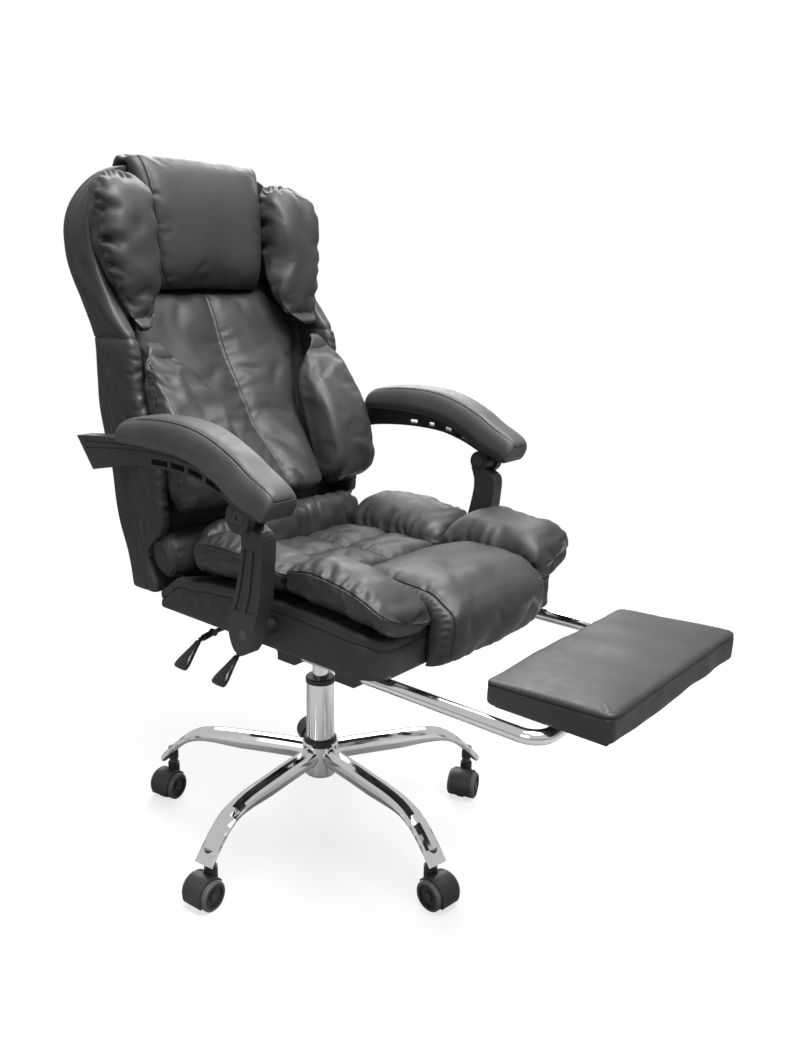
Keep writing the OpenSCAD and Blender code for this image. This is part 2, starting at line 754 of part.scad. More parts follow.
module back_shell() {
    color([0.10, 0.10, 0.11])
        difference() {
            intersection() {
                union() {
                    plate_x(-back_w / 2, back_w / 2)
                        polygon([for (s = concat(curve(shell_front_shares, shell_steps),
                            curve(shell_rear_shares, shell_steps), [shell_foot_shares]))
                            back_at(s[0], s[1])]);
                    side_strip();
                    mirror([1, 0, 0])
                        side_strip();
                }
                translate([0, hinge_y + back_h, 0])
                    rotate([90, 0, 0])
                    linear_extrude(height = 2 * back_h)
                    shell_front_view();
            }
            for (side = [-1, 1]) {
                bar_x(side * bracket_x - hinge_pin_l / 2, side * bracket_x + hinge_pin_l / 2,
                    hinge_y, hinge_z, hinge_pin_r);
                plate_x(side * bracket_x - bracket_t / 2 - shell_slot_gap,
                    side * bracket_x + bracket_t / 2 + shell_slot_gap)
                    bracket_sweep();
            }
        }
}
hinge_pin_l = 44;
// Outline of the back seen from the front, with round upper corners
module shell_front_view() {
    half = back_w / 2;
    top = back_low_z + back_h + cut;
    union() {
        translate([-half, back_low_z - cut])
            square([back_w, top - back_low_z + cut - shell_corner_r]);
        translate([-half + shell_corner_r, back_low_z - cut])
            square([back_w - 2 * shell_corner_r, top - back_low_z + cut]);
        for (side = [-1, 1])
            translate([side * (half - shell_corner_r), top - shell_corner_r])
            circle(r = shell_corner_r, $fn = 96);
    }
}
// Room that a hinge bracket needs while the back turns over it
sweep_from = 188;
sweep_to = 318;
near_sweep_to = 344;
near_reach = 34;
module bracket_sweep() {
    translate([hinge_y, hinge_z]) {
        circle(r = bracket_eye_r + shell_eye_gap);
        polygon(concat([[0, 0]], [for (a = [sweep_from:13:sweep_to]) slot_reach * [cos(a), sin(a)]]));
        polygon(concat([[0, 0]], [for (a = [sweep_from:13:near_sweep_to]) near_reach * [cos(a), sin(a)]]));
    }
}

// Back cushion: half width, reach of its front and height, as shares
back_cushion_shares = [[0.435, -0.160, 0.198], [0.435, -0.183, 0.225], [0.44, -0.150, 0.275],
    [0.50, -0.060, 0.37], [0.60, -0.006, 0.45], [0.715, 0.050, 0.545], [0.738, 0.073, 0.59],
    [0.65, 0.094, 0.64], [0.575, 0.122, 0.70]];
cushion_steps = 24;
module back_cushion() {
    color([0.12, 0.12, 0.13])
        upholstered([for (s = curve(back_cushion_shares, cushion_steps))
            let (front = back_at(s[1], s[2]), back_y = shell_front_y(front[1]) - soft_gap)
            [[0, back_y, front[1]], [s[0] * back_w / 2, 0, 0], [0, front[0] - back_y, 0]]],
            9, 14, cushion_steps, [0], 0.045, 0.12);
}

// Bolsters: height, inner edge, outer edge, reach of the front and of the rear, as shares
lumbar_shares = [[0.194, 0.48, 0.87, -0.145, -0.108], [0.226, 0.46, 0.92, -0.190, -0.1085],
    [0.266, 0.455, 0.94, -0.204, -0.107], [0.323, 0.455, 0.947, -0.193, -0.100],
    [0.388, 0.476, 0.951, -0.170, -0.072], [0.438, 0.496, 0.947, -0.139, -0.049],
    [0.481, 0.545, 0.935, -0.109, -0.035], [0.523, 0.622, 0.915, -0.069, -0.030],
    [0.553, 0.703, 0.87, -0.029, -0.004], [0.585, 0.772, 0.83, 0.007, 0.030]];
// Wings: height, inner edge and outer edge as shares of the room beside the pillow, and the same two reaches
wing_shares = [[0.612, 0.51, 0.645, 0.037, 0.0626], [0.645, 0.34, 0.73, 0.024, 0.0646],
    [0.690, 0.20, 0.80, 0.020, 0.0626], [0.733, 0.10, 0.885, 0.019, 0.0836],
    [0.786, 0.06, 0.965, 0.022, 0.1086], [0.848, 0.055, 0.99, 0.027, 0.1211],
    [0.895, 0.055, 0.982, 0.037, 0.1211], [0.940, 0.09, 0.937, 0.057, 0.1266],
    [0.974, 0.24, 0.71, 0.089, 0.1436]];
bolster_steps = 10;
lumbar_strip_gap = 2.6;
wing_strip_gap = 1.9;
// Station of a bolster or wing between two side places, whose rear stays clear of the strip
function side_station(s, inner, outer, gap) =
    let (front = back_at(s[3], s[0]), rear = back_at(s[4], s[0]),
        beside = outer > back_w / 2 - strip_w - strip_round)
    [[(inner + outer) / 2, min(rear[0], beside ? strip_y(front[1]) - gap : rear[0]), front[1]],
        [(outer - inner) / 2, 0, 0], [0, front[0] - rear[0], 0]];
module lumbar(side) {
    half = back_w / 2;
    color([0.12, 0.12, 0.13])
        mirror([side > 0 ? 0 : 1, 0, 0])
        upholstered([for (s = curve(lumbar_shares, 2 * bolster_steps))
            side_station(s, half * s[1], half * s[2], lumbar_strip_gap)],
            5, 9, bolster_steps, [-1.5], 0.9, 0.45);
}
module wing(side) {
    near = pillow_w / 2;
    room = back_w / 2 - near;
    color([0.12, 0.12, 0.13])
        mirror([side > 0 ? 0 : 1, 0, 0])
        upholstered([for (s = curve(wing_shares, 2 * bolster_steps))
            side_station(s, near + room * s[1], near + room * s[2], wing_strip_gap)],
            5, 9, bolster_steps, [-1.5], 0.9, 0.35);
}

// Head pillow: places on the shell, thickness as a share of the back's height, the way it faces, and width
pillow_shares = [[0.143, 0.708, 0.043, 100, 0.90], [0.170, 0.755, 0.085, 95, 0.95],
    [0.189, 0.82, 0.108, 90, 0.99], [0.184, 0.89, 0.097, 82, 1.01], [0.173, 0.948, 0.068, 66, 1.03],
    [0.164, 0.992, 0.036, 42, 1.06], [0.180, 1.003, 0.018, 8, 1.07], [0.203, 1.003, 0.026, -30, 1.07],
    [0.226, 0.965, 0.03, -62, 1.05]];
pillow_gap = 0.8;
module head_pillow() {
    color([0.12, 0.12, 0.13])
        upholstered([for (s = pillow_shares) let (at = back_at(s[0], s[1]))
            [[0, at[0], at[1]] + turned(s[3]) * pillow_gap, [pillow_w / 2 * s[4], 0, 0],
                turned(s[3]) * s[2] * back_h]],
            8, 12, 18, [2], 0.1, 0.1);
}

// Round roll that lies along the shell's lower front
roll_at_share = 0.077;
roll_lean = 20.3;
roll_half_h = 40;
roll_half_d = 28;
roll_gap = 0.6;
roll_end_inset = 8;
module back_roll() {
    z = back_low_z + roll_at_share * back_h;
    out = [0, -cos(roll_lean), sin(roll_lean)];
    up = [0, sin(roll_lean), cos(roll_lean)];
    centre = [0, shell_front_y(z), z] + out * (roll_half_d + roll_gap);
    color([0.12, 0.12, 0.13])
        stuffed([for (s = [-1:0.5:1])
            [centre + [s * (back_w / 2 - roll_end_inset), 0, 0], out * roll_half_d, up * roll_half_h]],
            2.2, 16, 9, 16);
}

// Pins of the recline hinge, and the bosses on the back's sides that the arms' rear ends turn on
pivot_plate_t = 4;
pivot_plate_h = 46;
pivot_plate_l = 84;
pivot_boss_r = 15;
pivot_r = 8;
pivot_boss_l = 5;
knuckle_in_x = back_w / 2 + pivot_plate_t + pivot_boss_l;
beam_skin = 5;
module back_pivots() {
    color("dimgray")
        for (side = [-1, 1]) {
            bar_x(side * bracket_x - hinge_pin_l / 2, side * bracket_x + hinge_pin_l / 2, hinge_y, hinge_z,
                hinge_pin_r);
            translate([side > 0 ? back_w / 2 : -back_w / 2 - pivot_plate_t,
                rear_at[0] - pivot_boss_r, rear_at[1] - pivot_plate_h / 2])
                cube([pivot_plate_t, pivot_plate_l, pivot_plate_h]);
            bar_x(side * back_w / 2, side * (knuckle_in_x - seat_gap), rear_at[0], rear_at[1], pivot_boss_r);
            bar_x(side * back_w / 2, side * (beam_out_x - beam_skin - cut), rear_at[0], rear_at[1], pivot_r);
        }
}

// Arms: uprights, beams with their lattice edge, pads and bolt caps

upright_front_shares = [[-0.09, 0.93], [-0.205, 0.875], [-0.245, 0.80], [-0.228, 0.575], [-0.208, 0.355],
    [-0.152, 0.152], [-0.101, -0.022], [-0.03, -0.155], [0.045, -0.191]];
upright_rear_shares = [[0.045, -0.191], [0.125, -0.14], [0.175, 0.0], [0.165, 0.14], [0.101, 0.282],
    [0.034, 0.518], [-0.010, 0.772], [0.035, 0.93]];
upright_steps = 18;
upright_eye_rim = 5;
upright_eye_r = disc_r - upright_eye_rim;
rib_depth = 2;
rib_inset_share = 0.74;
rib_w = 3;
module upright_outline() {
    union() {
        polygon([for (s = concat(curve(upright_front_shares, upright_steps),
            curve(upright_rear_shares, upright_steps)))
            foot_at + upright_l * s]);
        translate(disc_at)
            circle(r = upright_eye_r);
    }
}
// Long sunk panel in the upright's outer face, between its two edges
panel_low_share = 0.2;
panel_high_share = 0.74;
panel_steps = 8;
function upright_edge(shares, t) = lookup(t, [for (s = curve(shares, 40)) [s[1], s[0]]]);
module upright_panel(from_share, to_share) {
    steps = [for (i = [0:panel_steps])
        panel_low_share + (panel_high_share - panel_low_share) * i / panel_steps];
    front = [for (t = steps) foot_at + upright_l * [
        mix(upright_edge(flipped(upright_front_shares), t), upright_edge(upright_rear_shares, t),
            from_share), t]];
    rear = [for (t = steps) foot_at + upright_l * [
        mix(upright_edge(flipped(upright_front_shares), t), upright_edge(upright_rear_shares, t),
            to_share), t]];
    polygon(concat(front, flipped(rear)));
}
function mix(a, b, t) = a + (b - a) * t;
function flipped(list) = [for (i = [len(list) - 1:-1:0]) list[i]];
module arm_upright(side) {
    color("black")
        difference() {
            plate_x(side * upright_in_x, side * upright_out_x)
                upright_outline();
            plate_x(side * (upright_out_x - rib_depth), side * (upright_out_x + cut))
                upright_panel(0.14, 0.44);
            plate_x(side * (upright_out_x - rib_depth), side * (upright_out_x + cut))
                upright_panel(0.56, 0.86);
            bar_x(side * (upright_in_x - cut), side * (upright_out_x + cut), foot_at[0], foot_at[1],
                arm_bolt_r + running_gap);
            bar_x(side * (upright_out_x - arm_bolt_head_h), side * (upright_out_x + cut),
                foot_at[0], foot_at[1], arm_bolt_head_r + seat_gap);
            bar_x(side * (upright_in_x - cut), side * (upright_out_x + cut), disc_at[0], disc_at[1],
                arm_bolt_r + running_gap);
        }
}

// Outline of the beam from its nose to its rear end, as shares of the arm's run
beam_low_shares = [[-0.160, 0.012], [-0.10, 0.004], [-0.021, 0.022], [0.073, 0.066], [0.168, 0.102],
    [0.302, 0.133], [0.512, 0.142], [0.741, 0.127], [0.881, 0.099], [1.052, 0.066]];
beam_top_shares = [[1.177, 0.221], [1.0, 0.236], [0.835, 0.242], [0.579, 0.245], [0.363, 0.233],
    [0.229, 0.203], [0.101, 0.148], [-0.021, 0.072], [-0.160, 0.032]];
beam_steps = 30;
function beam_place(share) = disc_at + arm_run * share;
function beam_low_at(t) = lookup(t, curve(beam_low_shares, 60));
function beam_top_at(t) = lookup(t, flipped(curve(beam_top_shares, 60)));
window_edges_share = [0.085, 0.205, 0.325, 0.445, 0.585];
window_rib_share = 0.012;
window_rail_share = 0.012;
window_h_share = 0.026;
groove_shares = [[0.12, 1.1, 0.62], [0.2, 1.1, 0.80]];
groove_w_share = 0.007;
groove_depth = 1.5;
strip_steps = 8;
// Strip between two heights over the beam's lower edge
module beam_strip(t_from, t_to, low, high) {
    steps = [for (i = [0:strip_steps]) t_from + (t_to - t_from) * i / strip_steps];
    polygon(concat([for (t = steps) beam_place([t, beam_low_at(t) + low])],
        flipped([for (t = steps) beam_place([t, beam_low_at(t) + high])])));
}
module beam_groove(g) {
    steps = [for (i = [0:2 * strip_steps]) g[0] + (g[1] - g[0]) * i / strip_steps / 2];
    polygon(concat([for (t = steps) beam_place([t, mix(beam_low_at(t), beam_top_at(t), g[2])])],
        flipped([for (t = steps)
            beam_place([t, mix(beam_low_at(t), beam_top_at(t), g[2]) + groove_w_share])])));
}
knuckle_r = 20;
cap_recess_r = 10;
cap_recess_h = 2.5;
module arm_beam(side) {
    color("black")
        difference() {
            union() {
                plate_x(side * beam_in_x, side * beam_out_x)
                    polygon([for (s = concat(curve(beam_low_shares, beam_steps),
                        curve(beam_top_shares, beam_steps)))
                        beam_place(s)]);
                bar_x(side * (beam_out_x - disc_t), side * beam_out_x, disc_at[0], disc_at[1], disc_r);
                bar_x(side * knuckle_in_x, side * beam_in_x, rear_at[0], rear_at[1], knuckle_r);
            }
            bar_x(side * (beam_in_x - cut), side * (beam_out_x - disc_t), disc_at[0], disc_at[1],
                upright_eye_r + cut);
            bar_x(side * (beam_in_x - cut), side * (beam_out_x + cut), disc_at[0], disc_at[1], arm_bolt_r);
            bar_x(side * (beam_out_x - cap_recess_h), side * (beam_out_x + cut), disc_at[0], disc_at[1],
                cap_recess_r);
            bar_x(side * (knuckle_in_x - cut), side * (beam_out_x - beam_skin), rear_at[0], rear_at[1],
                pivot_r + open_pivot_gap);
            for (i = [0:len(window_edges_share) - 2])
                plate_x(side * (beam_in_x - cut), side * (beam_out_x + cut))
                    beam_strip(window_edges_share[i] + window_rib_share,
                        window_edges_share[i + 1] - window_rib_share,
                        window_rail_share, window_rail_share + window_h_share);
            for (g = groove_shares)
                plate_x(side * (beam_out_x - groove_depth), side * (beam_out_x + cut))
                    beam_groove(g);
        }
}

arm_pad_shift = 6;
arm_pad_gap = 0.6;
// Arm pad: places on the beam's top, thickness, and the way it faces
arm_pad_shares = [[0.815, 0.2425, 0.86, 0], [0.579, 0.245, 1.0, 2], [0.363, 0.233, 1.1, 10],
    [0.229, 0.203, 1.15, 27], [0.101, 0.148, 1.18, 35], [-0.021, 0.078, 1.18, 34],
    [-0.158, 0.036, 1.1, 36]];
module arm_pad(side) {
    color([0.12, 0.12, 0.13])
        upholstered([for (s = arm_pad_shares)
            let (at = beam_place([s[0], s[1]]), out = turned(s[3]))
            [[side * (arm_x - arm_pad_shift), at[0], at[1]] + out * arm_pad_gap, [-arm_pad_w / 2, 0, 0],
                out * s[2] * arm_pad_h]],
            4, 9, 14, [2], 0.1, 0.1);
}

cap_socket_r = 4;
cap_socket_h = 1.5;
cap_washer_t = 2.5;
module arm_cap(side) {
    color("dimgray")
        difference() {
            union() {
                bar_x(side * (upright_in_x - seat_gap), side * (beam_out_x - cap_recess_h),
                    disc_at[0], disc_at[1], arm_bolt_r);
                bar_x(side * (beam_out_x - cap_recess_h), side * (beam_out_x - seat_gap),
                    disc_at[0], disc_at[1], cap_recess_r - seat_gap);
                bar_x(side * (upright_in_x - seat_gap - cap_washer_t), side * (upright_in_x - seat_gap),
                    disc_at[0], disc_at[1], cap_recess_r);
            }
            bar_x(side * (beam_out_x - seat_gap - cap_socket_h), side * (beam_out_x + cut),
                disc_at[0], disc_at[1], cap_socket_r);
        }
}

// Footrest: the tube, the board that turns on its crossbar, and the pad

rail_bend_r = 28;
rail_rear_y = -104;
module footrest_tube() {
    color("silver")
        union() {
            for (side = [-1, 1]) {
                translate([side * rail_gap / 2, rail_rear_y, rail_z])
                    rotate([90, 0, 0])
                    cylinder(h = crossbar_y - rail_bend_r + rail_rear_y, r = rail_r);
                translate([side * (rail_gap / 2 - rail_bend_r), -crossbar_y + rail_bend_r, rail_z])
                    rotate([0, 0, side > 0 ? -90 : 180])
                    rotate_extrude(angle = 90)
                    translate([rail_bend_r, 0])
                    circle(r = rail_r);
            }
            bar_x(-rail_gap / 2 + rail_bend_r, rail_gap / 2 - rail_bend_r, -crossbar_y, rail_z, rail_r);
        }
}

board_t = 5;
board_inset = 12;
board_lift = 11;
board_low_z = rail_z + board_lift;
pad_front_share = 0.48;
clip_x = 112;
clip_w = 32;
clip_wall = 1.5;
clip_block_half = 14;
footrest_mid_y = -crossbar_y - footrest_d * pad_front_share + footrest_d / 2;
module footrest_board() {
    color("black")
        difference() {
            union() {
                translate([-footrest_w / 2 + board_inset, footrest_mid_y - footrest_d / 2 + board_inset,
                    board_low_z])
                    cube([footrest_w - 2 * board_inset, footrest_d - 2 * board_inset, board_t]);
                for (side = [-1, 1]) {
                    bar_x(side * clip_x - clip_w / 2, side * clip_x + clip_w / 2, -crossbar_y, rail_z,
                        rail_r + clip_wall);
                    translate([side * clip_x - clip_w / 2, -crossbar_y - clip_block_half, rail_z])
                        cube([clip_w, 2 * clip_block_half, board_low_z + board_t - rail_z]);
                }
            }
            bar_x(-footrest_w / 2, footrest_w / 2, -crossbar_y, rail_z, rail_r + running_gap);
        }
}

footrest_rise = 6;
footrest_corner_share = 0.9;
module footrest_pad() {
    low = board_low_z + board_t;
    color([0.12, 0.12, 0.13])
        upholstered([for (t = [0:0.25:1])
            [[0, footrest_mid_y + (t - 0.5) * footrest_d, low + seat_gap / 3], [footrest_w / 2, 0, 0],
                [0, 0, footrest_t + footrest_rise * (1 - t)]]],
            16, 16, 15, [2], 0.1, 0.1);
}

// Levers: a round bar from the pivot to a knuckle, a ringed neck and a flat paddle

lever_r = 4;
lever_drop = 7;
neck_slope = 10;
lever_slope = 40;
neck_l = 30;
neck_r = 5.5;
neck_rings = 4;
paddle_l = 56;
paddle_w = 32;
paddle_t = 11;
paddle_gap = 1.6;
module rod_between(a, b, r) {
    v = b - a;
    translate(a)
        rotate([0, acos(v[2] / norm(v)), atan2(v[1], v[0])])
        cylinder(h = norm(v), r = r);
}
neck_ring = neck_l / (neck_rings + 2);
lever_bend = [-lever_x - lever_l, 0, lever_z - lever_drop];
neck_down = [-cos(neck_slope), 0, -sin(neck_slope)];
lever_down = [-cos(lever_slope), 0, -sin(lever_slope)];
module lever(y) {
    color("dimgray")
        translate([0, y, 0])
        difference() {
            union() {
                translate([-lever_x, lever_eye_w / 2, lever_z])
                    rotate([90, 0, 0])
                    cylinder(h = lever_eye_w, r = lever_eye_r);
                rod_between([-lever_x, 0, lever_z], lever_bend, lever_r);
                translate(lever_bend + [0, neck_r, 0])
                    rotate([90, 0, 0])
                    cylinder(h = 2 * neck_r, r = neck_r);
                rod_between(lever_bend, lever_bend + neck_l * neck_down, lever_r);
                for (i = [1:neck_rings])
                    rod_between(lever_bend + i * neck_ring * neck_down,
                        lever_bend + (i + 0.5) * neck_ring * neck_down, neck_r);
            }
            translate([-lever_x, lever_eye_w / 2 + cut, lever_z])
                rotate([90, 0, 0])
                cylinder(h = lever_eye_w + 2 * cut, r = lever_pin_r + running_gap);
        }
}
// Paddle outline: place along it, half width and half thickness, as shares
paddle_shares = [[0, 0.34, 0.62], [0.2, 0.40, 0.75], [0.5, 0.66, 0.95], [0.78, 0.92, 1.0], [1, 1.0, 0.85]];
module paddle(y) {
    start = lever_bend + neck_l * neck_down + paddle_gap * lever_down + [0, y, 0];
    up = [-sin(lever_slope), 0, cos(lever_slope)];
    color("black")
        stuffed([for (s = paddle_shares)
            [start + lever_down * s[0] * paddle_l, [0, paddle_w / 2 * s[1], 0], up * paddle_t / 2 * s[2]]],
            3, 12, 10, 14);
}

base_hub();
base_legs();
stem_sockets();
base_collar();
column_tube();
column_cap();
for (i = [1:leg_count]) {
    caster_hood(i);
    caster_stem(i);
    caster_wheels(i);
    caster_treads(i);
}
lift_rod();
tilt_plate();
seat_base();
seat_cushion();
seat_bolster(1);  // seat_bolster_left
seat_bolster(-1);  // seat_bolster_right
seat_front_panel();
rail_guides();
hinge_brackets();
arm_bolts();
back_shell();
back_cushion();
lumbar(1);  // lumbar_left
lumbar(-1);  // lumbar_right
wing(1);  // wing_left
wing(-1);  // wing_right
head_pillow();
back_roll();
back_pivots();
arm_upright(1);  // arm_upright_left
arm_upright(-1);  // arm_upright_right
arm_beam(1);  // arm_beam_left
arm_beam(-1);  // arm_beam_right
arm_pad(1);  // arm_pad_left
arm_pad(-1);  // arm_pad_right
arm_cap(1);  // arm_cap_left
arm_cap(-1);  // arm_cap_right
footrest_tube();
footrest_board();
footrest_pad();
lever(-height_lever_y);  // height_lever
paddle(-height_lever_y);  // height_paddle
lever(recline_lever_y);  // recline_lever
paddle(recline_lever_y);  // recline_paddle
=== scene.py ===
"""Reclining office chair with a footrest: upholstery, materials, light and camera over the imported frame.

Every length is in millimetres until a mesh is made, where MM turns it into metres. The chair faces -Y, and
its sitter's right side is at -X. Shares are the ones that the source of the solids uses.
"""
import math
import random

import bmesh
import bpy
import numpy as np
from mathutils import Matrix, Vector

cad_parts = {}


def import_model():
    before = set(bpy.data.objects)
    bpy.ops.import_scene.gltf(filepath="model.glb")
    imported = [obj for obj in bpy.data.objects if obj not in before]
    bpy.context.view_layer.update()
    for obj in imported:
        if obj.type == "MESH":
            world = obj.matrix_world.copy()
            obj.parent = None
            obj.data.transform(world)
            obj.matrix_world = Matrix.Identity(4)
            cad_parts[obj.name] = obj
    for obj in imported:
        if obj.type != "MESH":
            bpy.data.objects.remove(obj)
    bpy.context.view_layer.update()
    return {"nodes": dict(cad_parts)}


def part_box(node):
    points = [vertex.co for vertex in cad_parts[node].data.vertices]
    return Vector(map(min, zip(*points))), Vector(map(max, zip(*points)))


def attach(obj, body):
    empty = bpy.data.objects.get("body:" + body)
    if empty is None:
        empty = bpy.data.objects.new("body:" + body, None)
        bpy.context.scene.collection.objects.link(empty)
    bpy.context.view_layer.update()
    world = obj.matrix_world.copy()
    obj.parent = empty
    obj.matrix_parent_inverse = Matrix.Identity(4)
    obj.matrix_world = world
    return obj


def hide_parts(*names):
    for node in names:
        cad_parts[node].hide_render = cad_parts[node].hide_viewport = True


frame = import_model()
MM = 0.001


def span(node):
    """Lowest and highest corner of a CAD node, in millimetres."""
    low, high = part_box(node)
    return np.array(low) / MM, np.array(high) / MM


# Driving places, read from the frame
box_low, box_high = span("seat_base")
shell_low, shell_high = span("back_shell")
SEAT_Z = box_low[2]
SEAT_W = box_high[0] - box_low[0]
SEAT_FRONT = -box_low[1]
SEAT_L = box_high[1] - box_low[1]
BOX_H = box_high[2] - box_low[2]
BACK_LOW_Z = shell_low[2]
BACK_H = shell_high[2] - shell_low[2]
BACK_W = shell_high[0] - shell_low[0]
HINGE = np.array([200.0, 522.0])
SEAT_PAD_Z = SEAT_Z + BOX_H + 0.3
SEAT_PAD_H = 70.0
CENTRE_W = 260.0
CENTRE_H = 25.0
PANEL_W = 266.0
PANEL_L = 172.0
PILLOW_W = 270.0


# ---------------------------------------------------------------- curves and skins

def curve_at(points, t):
    """Catmull and Rom's smooth curve through points of any kind, at places t from 0 to 1."""
    p = np.asarray(points, float)
    s = np.asarray(t, float) * (len(p) - 1)
    i = np.clip(np.floor(s).astype(int), 0, len(p) - 2)
    f = (s - i).reshape((-1,) + (1,) * (p.ndim - 1))
    a, b, c, d = p[np.maximum(i - 1, 0)], p[i], p[i + 1], p[np.minimum(i + 2, len(p) - 1)]
    return (2 * b + (c - a) * f + (2 * a - 5 * b + 4 * c - d) * f ** 2 + (3 * b - a - 3 * c + d) * f ** 3) / 2


def dome(s, square):
    """Height of a crown across its width, from 1 in the middle to 0 at -1 and 1."""
    return np.maximum(1 - np.abs(s) ** square, 0) ** (1 / 3)


def signed_power(v, e):
    """Power that keeps the sign, for rounded squares."""
    return np.sign(v) * np.abs(v) ** e


def smooth(x):
    """Soft step from 0 to 1."""
    x = np.clip(x, 0, 1)
    return x * x * (3 - 2 * x)


def unit(v):
    """Vectors along the last axis, at length one."""
    return v / np.maximum(np.linalg.norm(v, axis=-1, keepdims=True), 1e-9)


def arc_points(x, y, radius, degrees):
    """Points of a circle at each of the angles."""
    return [(x + radius * math.cos(a), y + radius * math.sin(a)) for a in np.radians(degrees)]


def paces(rng, start, stop, low, high):
    """Places from start to stop, each a random pace after the one before."""
    while start < stop:
        yield start
        start += rng.uniform(low, high)


def hand(side):
    """Name of a side: the sitter's left is at +X."""
    return "left" if side > 0 else "right"


def turned(angle):
    """Unit vector in the Y and Z plane, from straight up to straight ahead."""
    a = math.radians(angle)
    return np.array([0, -math.sin(a), math.cos(a)])


BESIDE_FINE = (0.0, 0.7, 1.5, 2.4, 3.4, 4.6, 6.2)


def spread(length, step, fine):
    """Places along a length, step apart, with closer ones round each fine place."""
    places = list(np.linspace(0, length, max(int(length / step), 8) + 1))
    extra = [f + sign * d for f in fine for d in BESIDE_FINE for sign in (-1, 1)]
    kept = [p for p in places if all(abs(p - f) > BESIDE_FINE[-1] + step / 3 for f in fine)]
    both = sorted(set(round(p, 3) for p in kept + [e for e in extra if 0 < e < length] + [0, length]))
    return np.array([p for k, p in enumerate(both) if k == 0 or p - both[k - 1] > 0.25])


class Skin:
    """Closed grid of rings: points P, and the sheet coordinates u and v in millimetres from its middle.

    face is 1 where the cover takes relief, lift the relief that waits for press, and edge_u the middle of the
    seam loop. fold, where set, is the sum of two columns that the cap of the last ring joins.
    """

    def __init__(self, points, u, v, face):
        self.P, self.u, self.v, self.face = points, np.asarray(u), np.asarray(v), face
        self.U, self.V = np.meshgrid(self.u, self.v)
        self.lift = np.zeros(self.U.shape)
        self.edge_u, self.fold = 0.0, None

    def normals(self):
        """Outward normal at each point."""
        across = np.roll(self.P, -1, 1) - np.roll(self.P, 1, 1)
        n = unit(np.cross(across, np.gradient(self.P, axis=0)))
        row = len(n) // 2
        outward = np.sum(n[row] * (self.P[row] - self.P[row].mean(0)))
        return n if outward > 0 else -n

    def press(self):
        """Applies the relief that was gathered in lift."""
        self.P = self.P + self.normals() * (self.lift * self.face)[..., None]
        self.lift = np.zeros(self.U.shape)

    def at(self, u, v):
        """Surface points and normals at sheet coordinates, for seams and threads."""
        cols = np.flatnonzero(self.face[0] > 0)
        order = cols[np.argsort(self.u[cols])]
        x = np.interp(u, self.u[order], np.arange(len(order)))
        y = np.interp(v, self.v, np.arange(len(self.v)))
        i, j = np.minimum(x.astype(int), len(order) - 2), np.minimum(y.astype(int), len(self.v) - 2)
        fx, fy = (x - i)[:, None], (y - j)[:, None]
        out = []
        for grid in (self.P, self.normals()):
            a, b = grid[j, order[i]], grid[j, order[i + 1]]
            c, d = grid[j + 1, order[i]], grid[j + 1, order[i + 1]]
            out.append((a * (1 - fx) + b * fx) * (1 - fy) + (c * (1 - fx) + d * fx) * fy)
        return out


def lengths(points):
    """Distance along a polyline to each of its points."""
    return np.concatenate([[0], np.cumsum(np.linalg.norm(np.diff(points, axis=0), axis=1))])


def upholstered(stations, square, end_square, step=2.6, edge=None, lines=(), cross=(), lip=0.16, taper=0.0):
    """Crowned panel on a board. A station is its middle on the board, a half width and a depth vector.
    edge is the seam's place as shares of the two half extents; lines and cross are further seams. taper
    narrows both ends."""
    q = np.linspace(0.0006, 0.9994, 1500)
    st = curve_at(stations, q)
    rise = dome(2 * q - 1, end_square)
    crown = st[:, 0] + st[:, 2] * rise[:, None]
    arc = lengths(crown)
    along_edge = [] if edge is None else [edge[1], -edge[1]]
    fine_v = [np.interp((1 + f) / 2, q, arc) for f in along_edge + list(cross)]
    v = spread(arc[-1], step, fine_v)
    t = np.interp(v, arc, q)
    st = curve_at(stations, t)
    rise = dome(2 * t - 1, end_square)
    st[:, 1] *= (1 - taper + taper * rise)[:, None]
    middle = curve_at(stations, [0.5])[0]
    half, depth = np.linalg.norm(middle[1]), np.linalg.norm(middle[2])
    r = np.linspace(-1, 1, 4001)
    s_dense = np.sign(r) * (1 - (1 - np.abs(r)) ** 3)
    profile = np.stack([s_dense * half, depth * (lip + (1 - lip) * dome(s_dense, square))], 1)
    side = lengths(profile)
    across_edge = [] if edge is None else [edge[0], -edge[0]]
    fine_u = [np.interp(f, s_dense, side) for f in across_edge + list(lines)]
    u = spread(side[-1], step, fine_u)
    s = np.interp(u, side, s_dense)
    heel = np.linspace(-0.95, 0.95, 7)
    ring_s = np.concatenate([s[::-1], heel])
    height = np.concatenate([(lip + (1 - lip) * dome(s[::-1], square)), np.zeros(len(heel))])
    P = (st[:, None, 0] + st[:, None, 1] * ring_s[None, :, None]
         + st[:, None, 2] * (rise[:, None] * height[None, :])[..., None])
    ring_u = np.concatenate([(u - side[-1] / 2)[::-1], heel * half])
    face = np.tile(np.concatenate([np.ones(len(s)), np.zeros(len(heel))]), (len(t), 1))
    skin = Skin(P, ring_u, v - arc[-1] / 2, face)
    skin.half_u, skin.half_v = side[-1] / 2, arc[-1] / 2
    if edge is not None:
        skin.edge = (fine_u[0] - side[-1] / 2, fine_v[0] - arc[-1] / 2)
    skin.line_u = [f - side[-1] / 2 for f in fine_u[len(across_edge):]]
    skin.cross_v = [f - arc[-1] / 2 for f in fine_v[len(along_edge):]]
    return skin


